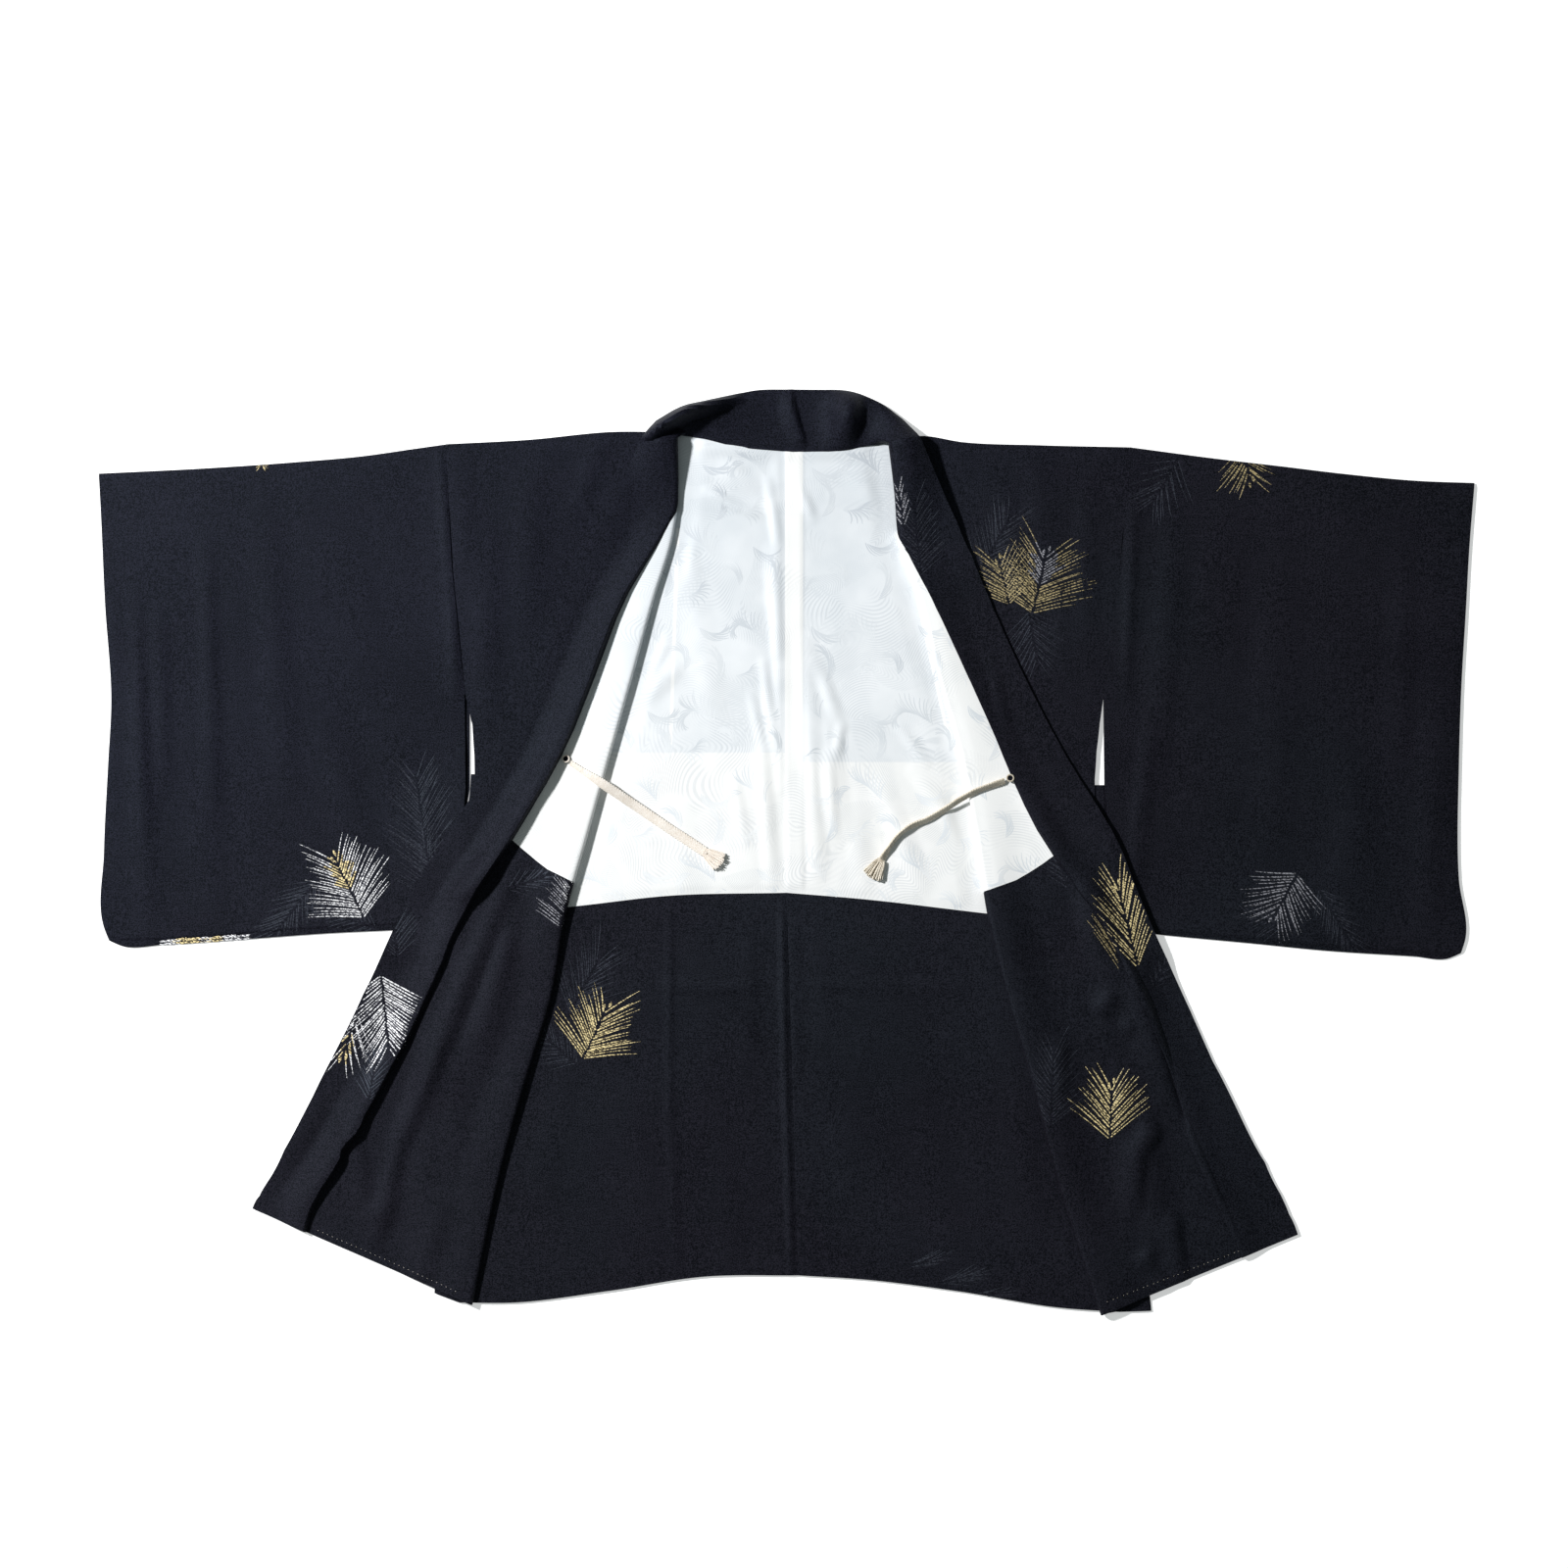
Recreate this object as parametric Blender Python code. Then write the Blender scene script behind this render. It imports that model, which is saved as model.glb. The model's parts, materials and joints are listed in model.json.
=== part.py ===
"""Haori jacket lying open on its back, both fronts folded back along a slanting roll.

The frame: X to the wearer's left, Y from hem to neck, Z up from the surface that it lies on,
origin under the middle of the laid-out garment. All tables and sizes below are in millimetres.

Layers, from the surface up: back panel, back lining, lower layer of the front, roll, upper layer of
the front, front lining, and the collar on top, which runs out over the sleeve and the surface.
"""
import math

import bmesh
import bpy
import numpy as np

MM = 0.001

# Cloth
CLOTH = 1.1            # one layer of crepe
LINING = 1.1           # one layer of damask
GAP = 0.3              # air between pieces that touch
DOUBLED = CLOTH + GAP + LINING   # crepe turned up at the hem, flush with the lining above it
COLLAR = 2.5           # folded collar band

# Heights of the layers
LINING_UNDER = CLOTH + GAP
FRONT_UNDER = DOUBLED + GAP
FRONT_MIDDLE = FRONT_UNDER + CLOTH / 2
SLEEVE_TOP = 2 * CLOTH + GAP + 0.05
ON_FRONT = FRONT_UNDER + CLOTH + GAP     # underside of what lies on the front's lower layer
ON_SLEEVE = SLEEVE_TOP + 0.7             # underside of what lies on a sleeve or a gusset

# How far cloth takes to settle past a step
STEP_RUN = 16.0
FLOOR_RUN = 28.0
STEP_BEGINS = 12.0
ROLL_RUN = 42.0
SEAM_RUN = 26.0
SHOULDER_ROW = 0.0145  # part of the front's length over which its lower layer climbs onto the lining
SHOULDER_SHARE = 0.12  # part of the front's length over which its top edge takes the shoulder's curve
LINING_BELOW_SHOULDER = 14.0
LINING_COLUMNS = (0, 20, 40, 60, 80, 95, 107, 122, 145, 175, 210, 250, 290, 330)   # from the centre seam

# Fronts: columns of points under the roll and from it to the seam; where the lining starts, as a
# part of the roll's radius before its crest, and the length past the crest at which it first shows
UNDER_COLUMNS = 5
ROLL_COLUMNS = 11
LINING_TUCK = 0.7
LINING_SEAM = 9.0

# One row for each section down a front, from the shoulder to the hem. `side_y` is where the
# section meets the side edge, `seam` the distance along the cloth from the crest of the roll to the
# collar seam, below zero where the seam is still under the roll.
#    side_y, roll_x, roll_y, seam, edge_x, edge_y, radius, edge_lift
SECTIONS = {
    "left": [
        (388, -105, 393, -11, -140, 391, 9.5, 5.0),
        (340, -105, 340, -4, -163, 339, 7.0, 5.0),
        (302, -110, 303, 9, -180, 301, 6.0, 2.5),
        (242, -128, 243, 27, -207, 240, 5.5, 1.5),
        (167, -149, 167, 36, -234, 166, 5.5, 1.5),
        (93, -170, 93, 48, -274, 93, 6.0, 1.5),
        (11, -193, 11, 73, -329, 11, 6.0, 1.0),
        (-57, -212, -57, 98, -367, -57, 6.0, 0.5),
        (-136, -226, -136, 117, -405, -136, 6.0, 0.0),
        (-216, -250, -216, 134, -444, -216, 5.5, 0.0),
        (-294, -272, -294, 157, -485, -294, 4.5, 0.0),
        (-430, -302, -432, 175, -511, -341, 2.6, 0.0),
    ],
    "right": [
        (386, 98, 388.5, -12, 126, 395, 9.5, 6.0),
        (340, 104, 340, -10, 151, 339, 7.0, 8.0),
        (299, 108, 299, 3, 170, 299, 5.5, 4.0),
        (241, 129, 241, 11, 194, 240, 4.5, 3.0),
        (168, 147, 168, 27, 227, 168, 4.0, 2.5),
        (93, 168, 93, 40, 266, 93, 4.0, 3.0),
        (12, 183, 12, 65, 315, 12, 4.5, 4.5),
        (-57, 193, -57, 105, 343, -57, 4.5, 5.0),
        (-136, 212, -136, 127, 379, -136, 4.5, 2.0),
        (-216, 235, -216, 137, 415, -216, 4.5, 0.0),
        (-294, 255, -294, 142, 456, -294, 4.0, 0.0),
        (-439, 302, -442, 147, 489, -366, 2.6, 0.0),
    ],
}

# One row for each section of the collar round the neck, from the centre back to the shoulder.
# `seam_x` is on the neckline, `inward` the direction in which the band leaves it, `low_rise` and
# `high_rise` how the band arches, `edge_z` how high the middle of its free edge stands.
#    seam_x, inward_x, inward_y, edge_x, edge_y, low_rise, high_rise, edge_z
NECK_SECTIONS = {
    "left": [
        (5, 0, 12, 5, 442.1, 0, 1, 1.4),
        (-25, 0, 12, -29, 441, 0, 4, 1.2),
        (-54, 1, 10, -68, 431, 6, 16, 3),
        (-81, 5, 9, -99, 425, 12, 28, 7),
        (-99, 13, 3, -124, 411, 6, 36, 9),
    ],
    "right": [
        (5, 0, 12, 5, 442.1, 0, 1, 1.4),
        (33, 0, 12, 36, 441.5, 0, 5, 1.2),
        (56, 0, 10, 63, 439, 8, 14, 2),
        (76, -3, 8, 84, 430, 6, 11, 5),
        (88, -13, 1, 110, 413, 8, 34, 9),
    ],
}
NECK_OVERLAP = 1.5     # collar over the lining's edge at the neckline

# Edges of the laid-out pieces, each from the top or the centre outward and down
SHOULDER = {
    "left": [(-326, 390), (-249, 394), (-158, 402), (-117, 401), (-82, 397), (-49, 389), (5, 384)],
    "right": [(330, 387), (240, 389), (168, 392), (127, 398), (99, 393), (76, 389.5), (48, 385), (5, 384)],
}
ARMHOLE = {
    "left": [(-326, 390), (-320, 272), (-308, 154)],
    "right": [(330, 387), (319, 272), (303, 148)],
}
BODY_SIDE = {
    "left": [(-299, 115), (-298, 60), (-299, -60), (-301, -216), (-305, -330), (-313, -431)],
    "right": [(297, 106), (294, 60), (297, -60), (303, -216), (309, -330), (318, -440)],
}
SLEEVE_INNER = {
    "left": [(-307, 60), (-318, -72)],
    "right": [(304, 60), (317, -75)],
}
SLEEVE_TOP_EDGE = {
    "left": [(-658, 362), (-557, 367), (-469, 373), (-403, 379), (-361, 385), (-326, 390)],
    "right": [(658, 353), (605, 355), (531, 362), (473, 369), (413, 376), (330, 387)],
}
CUFF = {
    "left": [(-658, 362), (-656, 325), (-652, 238), (-646, 143), (-649, 84), (-653, 0),
             (-653, -72), (-648, -85)],
    "right": [(658, 353), (653, 291), (650, 237), (645, 150), (643, 84), (643, -26),
              (649, -84), (645, -97)],
}
SLEEVE_BOTTOM = {
    "left": [(-648, -85), (-636, -90), (-596, -89), (-508, -83), (-438, -78), (-375, -75), (-318, -72)],
    "right": [(645, -97), (633, -102), (600, -100), (509, -94), (449, -88), (354, -79), (317, -75)],
}
GUSSET_FOLD = {
    "left": [(-306, 64), (-322, -180), (-337, -422)],
    "right": [(302, 64), (325, -180), (349, -439)],
}
CENTRE_SEAM = [(5, 384), (0, -39), (6, -235), (11, -405)]
FACING_TOP = {
    "left": [(-300, -60), (-203, -52), (-114, -42), (0, -39)],
    "right": [(298, -70), (193, -59), (72, -45), (0, -39)],
}
HEM = {
    "left": [(-313, -431), (-261, -431), (-171, -420), (-76, -406), (11, -405)],
    "right": [(318, -440), (262, -436), (163, -420), (75, -409), (11, -405)],
}
# Where the turned-up hem of each front ends, at the roll and at the collar seam
FRONT_FACING = {"left": (-30, 12), "right": (-39, -3)}

# Soft ridges of the laid cloth: from x, y to x, y, half width, height
LINING_RIDGES = [
    (-8, 372, -6, 60, 5, 1.6),
    (-70, 362, -22, 348, 7, 1.8),
    (-135, 148, -100, 182, 7, 1.5),
    (18, 200, 30, -20, 7, 2.2),
    (34, 150, 52, 20, 8, 1.6),
    (92, 60, 128, -30, 8, 1.8),
    (120, 240, 150, 110, 6, 1.8),
    (-40, 60, -34, -36, 12, 1.0),
]
SLEEVE_RIDGES = [
    (-622, 170, -610, -80, 10, 2.2),
    (-560, 90, -548, -78, 14, 1.4),
    (-450, 330, -400, 180, 22, 1.2),
    (-380, 120, -350, -40, 16, 1.2),
    (622, 150, 612, -92, 12, 1.8),
    (545, 60, 530, -88, 16, 1.4),
    (420, 340, 400, 160, 20, 1.2),
]
TURNED_RIDGES = [
    (-345, -190, -300, -300, 16, 1.8),
    (-250, -230, -300, -330, 14, 1.6),
    (-400, -360, -372, -330, 10, 1.8),
    (-262, -110, -285, -200, 12, 1.5),
    (258, -170, 268, -230, 12, 2.2),
    (330, -200, 318, -270, 9, 2.2),
    (340, -240, 352, -372, 9, 1.8),
    (300, -120, 312, -170, 9, 1.6),
]

# Cords: hand-chosen points of each route, x, y and height of the cord's middle
CORD_DIAMETER = 6.0
CORD_ROUTE = {
    "left": [(-206.5, 85.5, 13.6), (-192, 76, 19.6), (-178, 67, 21.2), (-162, 56, 17.5), (-145, 44.5, 12),
             (-128, 33, 8.4), (-111, 21.5, 6.6), (-94, 10.5, 5.9), (-79, 0.5, 5.9)],
    "right": [(208.5, 68, 12.4), (196, 64, 15.6), (180, 58, 17.8), (166, 50.5, 15.6), (150, 40, 11.2),
              (134, 31, 8.6), (118, 24.5, 7.8), (106, 15, 7.6), (97, 3, 6.4), (91, -7, 5.9)],
}
CHI = {"left": (-210.8, 89.2, 10.35), "right": (213.4, 70.8, 10.85)}
CHI_RADIUS = 3.2
CHI_THREAD = 0.7

TASSEL_LENGTH = 21.0
TASSEL_HEAD = 4.0
TASSEL_SPREAD = 9.5
TASSEL_COLUMNS = 8
TASSEL_ROWS = 3

SIDES = ("left", "right")
OUTWARD = {"left": -1.0, "right": 1.0}


# ---------------------------------------------------------------- curves and small functions

def ease(x):
    """0 to 1 with level ends."""
    x = np.clip(x, 0.0, 1.0)
    return x * x * (3.0 - 2.0 * x)


def read_table(knots, values, where):
    """Smooth reading of a table: cubic pieces that pass through every row."""
    slopes = np.gradient(values, knots, axis=0)
    where = np.clip(np.asarray(where, float), knots[0], knots[-1])
    cell = np.clip(np.searchsorted(knots, where, side="right") - 1, 0, len(knots) - 2)
    span = (knots[cell + 1] - knots[cell])[..., None]
    f = (where - knots[cell])[..., None] / span
    return (values[cell] * (2 * f**3 - 3 * f**2 + 1) + slopes[cell] * span * (f**3 - 2 * f**2 + f)
            + values[cell + 1] * (3 * f**2 - 2 * f**3) + slopes[cell + 1] * span * (f**3 - f**2))


def length_knots(points):
    """Distances along a row of points, as fractions of the whole."""
    steps = np.linalg.norm(np.diff(points, axis=0), axis=1)
    return np.concatenate([[0.0], np.cumsum(steps)]) / steps.sum()


def smooth_line(points):
    """A smooth curve through a few points, read by the fraction of its length."""
    points = np.array(points, float)
    knots = length_knots(points)
    return lambda t: read_table(knots, points, t)


def straight_line(points):
    """Straight runs between points, read by the fraction of their length."""
    points = np.array(points, float)
    knots = length_knots(points)
    return lambda t: np.stack([np.interp(t, knots, points[:, k]) for k in (0, 1)], axis=-1)


def x_at(points, y):
    """x of a line that runs down the garment, at a height y."""
    points = np.array(points, float)[::-1]
    return np.interp(y, points[:, 1], points[:, 0])


def y_at(points, x):
    """y of a line that runs across the garment, at a place x."""
    points = np.array(sorted(points), float)
    return np.interp(x, points[:, 0], points[:, 1])


def shoulder_y(side, x):
    """y of the shoulder fold and neckline at a place x."""
    points = smooth_line(SHOULDER[side])(np.linspace(0.0, 1.0, 160))
    order = np.argsort(points[:, 0])
    return np.interp(x, points[order, 0], points[order, 1])


def between(a, b, f):
    """The point a fraction f of the way from a to b."""
    return a + (b - a) * f


def patch(top, bottom, start, end, u, v):
    """Coons patch: plan points between four edge curves, u along the top, v down the start."""
    u = u[None, :, None]
    v = v[:, None, None]
    flat_u = u[0, :, 0]
    flat_v = v[:, 0, 0]
    across = between(top(flat_u)[None], bottom(flat_u)[None], v)
    down = between(start(flat_v)[:, None], end(flat_v)[:, None], u)
    corners = between(between(top(0.0), top(1.0), u), between(bottom(0.0), bottom(1.0), u), v)
    return across + down - corners


def ridges(table, plan):
    """Height of the soft ridges at plan points."""
    height = np.zeros(plan.shape[:-1])
    for x0, y0, x1, y1, half_width, peak in table:
        a = np.array([x0, y0], float)
        run = np.array([x1, y1], float) - a
        along = np.clip(((plan - a) @ run) / (run @ run), 0.0, 1.0)
        away = np.linalg.norm(plan - (a + along[..., None] * run), axis=-1)
        height += peak * np.sin(math.pi * (0.12 + 0.76 * along)) * (1.0 - ease(away / (2.0 * half_width)))
    return height


# ---------------------------------------------------------------- the folded front

class Sections:
    """The folded front of one side, read at t from 0 at the shoulder to 1 at the hem."""

    def __init__(self, side):
        self.side = side
        self.values = np.array(SECTIONS[side], float)
        self.knots = length_knots(self.values[:, 1:3])
        self.body_side = ARMHOLE[side] + BODY_SIDE[side]

    def read(self, t):
        row = read_table(self.knots, self.values, t)
        side_y = row[..., 0]
        side_x = x_at(self.body_side, side_y)
        return {
            "side": np.stack([side_x, side_y], axis=-1),
            "roll": row[..., 1:3],
            "seam": row[..., 3],
            "edge": row[..., 4:6],
            "radius": row[..., 6],
            "edge_lift": row[..., 7],
        }

    def reach(self, t):
        """Distances along the cloth from the crest: to the side edge, the seam, the collar's edge."""
        row = self.read(t)
        turn = row["radius"] * (math.pi / 2 - 1)
        to_side = np.linalg.norm(row["side"] - row["roll"], axis=-1) + turn
        to_edge = np.linalg.norm(row["edge"] - row["roll"], axis=-1) + turn
        return -to_side, row["seam"], to_edge

    def t_at_roll(self, y):
        """t where the roll passes a height y."""
        dense = np.linspace(0.0, 1.0, 400)
        return float(np.interp(-y, -self.read(dense)["roll"][:, 1], dense))


def rest_height(side, plan):
    """Underside of a turned-back layer: on the front, then the sleeve or gusset, then the surface."""
    x, y = plan[..., 0], plan[..., 1]
    past_body = OUTWARD[side] * (x - x_at(ARMHOLE[side] + BODY_SIDE[side], y))
    past_gusset = OUTWARD[side] * (x - x_at(GUSSET_FOLD[side], y))
    below_sleeve = y_at(SLEEVE_BOTTOM[side], x) - y
    height = between(ON_FRONT, ON_SLEEVE, ease((past_body - STEP_BEGINS) / STEP_RUN))
    past_all = ease((past_gusset - STEP_BEGINS) / FLOOR_RUN) * ease((below_sleeve - STEP_BEGINS) / FLOOR_RUN)
    return height * (1.0 - past_all)


def fold_middle(sections, t, s):
    """Distance q outward from the roll and height z of the cloth's middle, in the section's plane."""
    row = sections.read(t)
    radius = row["radius"]
    quarter = radius * math.pi / 2
    angle = np.clip(s / radius, -math.pi / 2, math.pi / 2)
    beyond = np.maximum(np.abs(s) - quarter, 0.0)
    q = radius * (1.0 - np.cos(angle)) + beyond
    plan = fold_plan(sections, t, row, s, q)
    roll_z = FRONT_MIDDLE + radius * (1.0 + np.sin(angle))
    rest = rest_height(sections.side, plan) + CLOTH / 2 + ridges(TURNED_RIDGES, plan)
    settled = ease(beyond / ROLL_RUN)
    upper_z = between(FRONT_MIDDLE + 2.0 * radius, rest, settled)
    z = np.where(s > quarter, upper_z, roll_z)
    drop = (FRONT_UNDER - LINING_UNDER) * ease((-quarter - s) / 6.0) * (1.0 - ease(t / SHOULDER_ROW))
    return q, z - drop


def fold_plan(sections, t, row, s, q):
    """Plan point a distance q outward from the roll, towards the side edge or the collar's edge."""
    quarter = (row["radius"] * math.pi / 2)[..., None]
    to_side = row["side"] - row["roll"]
    to_edge = row["edge"] - row["roll"]
    to_side = to_side / np.linalg.norm(to_side, axis=-1, keepdims=True)
    to_edge = to_edge / np.linalg.norm(to_edge, axis=-1, keepdims=True)
    upper = ease((s[..., None] / quarter + 1.0) / 2.0)
    plan = row["roll"] + q[..., None] * between(to_side, to_edge, upper)
    start = sections.read(0.0)
    slope = (start["side"][1] - start["roll"][1]) / (start["side"][0] - start["roll"][0])
    chord_y = start["roll"][1] + slope * (plan[..., 0] - start["roll"][0])
    under_shoulder = (1.0 - upper[..., 0]) * (1.0 - ease(t / SHOULDER_SHARE))
    plan[..., 1] += under_shoulder * (shoulder_y(sections.side, plan[..., 0]) - chord_y)
    return plan


def fold_point(sections, t, s, offset):
    """A point of the folded cloth, moved out of its middle by offset, away from the fold's inside."""
    t, s = np.broadcast_arrays(np.asarray(t, float), np.asarray(s, float))
    step = 0.05
    q, z = fold_middle(sections, t, s)
    q_next, z_next = fold_middle(sections, t, s + step)
    q_last, z_last = fold_middle(sections, t, s - step)
    length = np.hypot(q_next - q_last, z_next - z_last)
    q = q - offset * (z_next - z_last) / length
    z = z + offset * (q_next - q_last) / length
    plan = fold_plan(sections, t, sections.read(t), s, q)
    return np.concatenate([plan, z[..., None]], axis=-1)


def spread(start, stop, count, fine=13.0, strength=5.0):
    """Places from start to stop, closer together round the crest of the roll."""
    dense = np.linspace(start, stop, 240)
    density = 1.0 + strength * np.exp(-(dense / fine) ** 2)
    total = np.concatenate([[0.0], np.cumsum((density[1:] + density[:-1]) / 2 * np.diff(dense))])
    return np.interp(np.linspace(0.0, total[-1], count), total, dense)


# ---------------------------------------------------------------- meshes

def new_object(name, vertices, faces, material):
    """A mesh object from points in millimetres, faces turned outward and shaded smooth."""
    mesh = bpy.data.meshes.new(name)
    mesh.from_pydata([tuple(point) for point in np.asarray(vertices) * MM], [], faces)
    builder = bmesh.new()
    builder.from_mesh(mesh)
    bmesh.ops.recalc_face_normals(builder, faces=builder.faces)
    builder.to_mesh(mesh)
    builder.free()
    mesh.shade_smooth()
    mesh.set_sharp_from_angle(angle=math.radians(50))
    mesh.materials.append(material)
    item = bpy.data.objects.new(name, mesh)
    bpy.context.collection.objects.link(item)
    return item


def grid_faces(rows, columns, first=0, closed=False):
    """Quads of a grid of points numbered row by row, closed round the columns or open."""
    faces = []
    for i in range(rows - 1):
        for j in range(columns if closed else columns - 1):
            a = first + i * columns + j
            b = first + i * columns + (j + 1) % columns
            faces.append((a, b, b + columns, a + columns))
    return faces


def wall(name, under, over, material):
    """A closed sheet between two grids of points."""
    rows, columns = under.shape[:2]
    count = rows * columns
    faces = grid_faces(rows, columns) + grid_faces(rows, columns, count)
    for i in range(rows - 1):
        for a in (i * columns, i * columns + columns - 1):
            faces.append((a, a + columns, a + columns + count, a + count))
    for j in range(columns - 1):
        for a in (j, (rows - 1) * columns + j):
            faces.append((a, a + 1, a + 1 + count, a + count))
    points = np.concatenate([under.reshape(-1, 3), over.reshape(-1, 3)])
    points[:, 2] = np.maximum(points[:, 2], 0.0)
    return new_object(name, points, faces, material)


def at_height(plan, height):
    """Plan points with a height added."""
    return np.concatenate([plan, np.broadcast_to(height, plan.shape[:-1])[..., None]], axis=-1)


# ---------------------------------------------------------------- the pieces

def gap_beside(points, gap):
    """A line moved sideways by half a gap."""
    return [(x + gap, y) for x, y in points]


def back_rows(side, first, last, u, count):
    """Plan points of the back from its shoulder or facing line to its facing line or hem, in a number
    of rows, or with a row at each corner of its side edge when the count is 0."""
    inward = -OUTWARD[side] * GAP
    outer = gap_beside(ARMHOLE[side] + BODY_SIDE[side], inward)
    lines = {"top": SHOULDER[side], "facing": FACING_TOP[side], "hem": HEM[side]}
    start_y, stop_y = lines[first][0][1], lines[last][0][1]
    edge = [p for p in outer if stop_y + 4 < p[1] < start_y - 4]
    edge = [(x_at(outer, start_y), start_y)] + edge + [(x_at(outer, stop_y), stop_y)]
    seam = gap_beside(CENTRE_SEAM, OUTWARD[side] * GAP / 2)
    centre = {"top": 384, "facing": -39, "hem": -405}
    inner = [p for p in seam if centre[last] <= p[1] <= centre[first]]
    top = smooth_line([edge[0]] + lines[first][1:-1] + [inner[0]])
    bottom = smooth_line([edge[-1]] + lines[last][1:-1] + [inner[-1]])
    v = np.linspace(0.0, 1.0, count) if count else length_knots(np.array(edge, float))
    return patch(top, bottom, straight_line(edge), smooth_line(inner), u, v)


def back_panel(side, material):
    """One half of the back: a single layer, doubled below the facing line."""
    u = np.linspace(0.0, 1.0, 11)
    upper = back_rows(side, "top", "facing", u, 0)
    lower = back_rows(side, "facing", "hem", u, 0)
    lower[0, :, 1] -= GAP
    plan = np.concatenate([upper, lower])
    height = np.full(plan.shape[:2], CLOTH)
    height[len(upper):] = DOUBLED
    wall(f"back_{side}", at_height(plan, 0.0), at_height(plan, height), material)


def back_lining(side, material):
    """One half of the back lining, from the neckline to the turned-up hem."""
    plan = back_rows(side, "top", "facing", 1.0 - np.array(LINING_COLUMNS[::-1]) / LINING_COLUMNS[-1], 24)
    past_neck = OUTWARD[side] * plan[0, :, 0] - abs(SECTIONS[side][0][1]) + 2.0
    below_shoulder = LINING_BELOW_SHOULDER * ease(past_neck / 12.0)
    plan[0, :, 1] -= below_shoulder
    plan[1, :, 1] -= below_shoulder * 0.5
    plan[:, 0, 0] -= OUTWARD[side] * 2.0
    plan[-1, :, 1] += GAP
    clear = OUTWARD[side] * (x_at([row[1:3] for row in SECTIONS[side]], plan[..., 1]) - plan[..., 0])
    under = LINING_UNDER + ridges(LINING_RIDGES, plan) * ease((clear - 14.0) / 16.0)
    wall(f"lining_back_{side}", at_height(plan, under), at_height(plan, under + LINING), material)


def front_columns(sections, t):
    """Distances along the cloth of a front's columns of points, from the side edge to the seam."""
    first, last, _ = sections.reach(t)
    radius = float(sections.read(t)["radius"])
    tuck = min(-LINING_TUCK * radius, last - 12.5)
    under = np.linspace(first + GAP, min(-1.75 * radius, tuck - 6.0), UNDER_COLUMNS - 1)
    crest = spread(tuck, last - 3.0, ROLL_COLUMNS - 1)
    return np.concatenate([under, [min(-1.3 * radius, tuck - 3.0)], crest, [last - GAP / 2]])


def front_grid(side):
    """The front's sections, t and s of its points in rows down and columns outward, the row where
    its lining begins and the row of its turned-up hem's top edge."""
    sections = Sections(side)
    dense = np.linspace(0.0, 1.0, 400)
    lining_t = float(np.interp(LINING_SEAM, sections.read(dense)["seam"], dense))
    roll_y, seam_y = FRONT_FACING[side]
    columns = UNDER_COLUMNS + ROLL_COLUMNS
    facing_columns = front_columns(sections, sections.t_at_roll(seam_y))
    out = np.clip(facing_columns / facing_columns[-1], 0.0, 1.0)
    stop = between(sections.t_at_roll(roll_y), sections.t_at_roll(seam_y), out)
    above = np.concatenate([[0.0, SHOULDER_ROW], np.linspace(SHOULDER_ROW, lining_t, 5)[1:]])
    beside = np.linspace(0.0, 1.0, 12)[1:, None]
    below = np.concatenate([[0.0006], np.linspace(0.0, 1.0, 10)[1:]])[:, None]
    t = np.concatenate([
        np.repeat(above[:, None], columns, axis=1),
        lining_t + beside * (stop[None, :] - lining_t),
        stop[None, :] + below * (1.0 - stop[None, :]),
    ])
    s = np.empty_like(t)
    for i in range(t.shape[0]):
        for j in range(columns):
            s[i, j] = front_columns(sections, t[i, j])[j]
    return sections, t, s, len(above) - 1, len(above) + len(beside) - 1


def front_panel(side, material):
    """A front: lower layer from the side edge, roll, and upper layer to the collar seam."""
    sections, t, s, _, facing_row = front_grid(side)
    turned = ease((s / sections.read(t)["radius"] + 1.4) / 0.7) * (DOUBLED - CLOTH)
    turned[:facing_row + 1] = 0.0
    inside = fold_point(sections, t, s, -CLOTH / 2)
    outside = fold_point(sections, t, s, CLOTH / 2 + turned)
    wall(f"front_{side}", inside, outside, material)


def front_lining(side, material):
    """The front lining where it shows: from just under the roll out to the collar seam."""
    sections, t, s, first, last = front_grid(side)
    t = t[first:last + 1, UNDER_COLUMNS:].copy()
    s = s[first:last + 1, UNDER_COLUMNS:].copy()
    t[-1] -= 0.0005
    s[:, -1] -= GAP / 2
    under = CLOTH / 2 + GAP
    inside = fold_point(sections, t, s, under)
    outside = fold_point(sections, t, s, under + LINING)
    wall(f"lining_front_{side}", inside, outside, material)


def collar_neck_rows(side, share):
    """Middle of the collar band round the neck, read at shares of its width from the seam out."""
    table = np.array(NECK_SECTIONS[side], float)
    knots = length_knots(table[:, 3:5])
    rows = read_table(knots, table, np.linspace(0.0, 1.0, 10))
    rows[0, [0, 3]] += OUTWARD[side] * GAP / 2
    seam_x, low_rise, high_rise, edge_z = rows[:, 0], rows[:, 5], rows[:, 6], rows[:, 7]
    seam_y = shoulder_y(side, seam_x) - NECK_OVERLAP
    seam_z = np.full_like(seam_x, DOUBLED + GAP + COLLAR / 2)
    f = share[None, :, None]
    seam = np.stack([seam_x, seam_y, seam_z], axis=-1)[:, None, :]
    edge = at_height(rows[:, 3:5], edge_z)[:, None, :]
    first = seam + at_height(rows[:, 1:3], low_rise)[:, None, :]
    second = edge + (seam - edge) * 0.2 + at_height(rows[:, 1:3] * 0.0, high_rise)[:, None, :]
    return (seam * (1 - f)**3 + 3 * first * f * (1 - f)**2 + 3 * second * f**2 * (1 - f) + edge * f**3)


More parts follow.
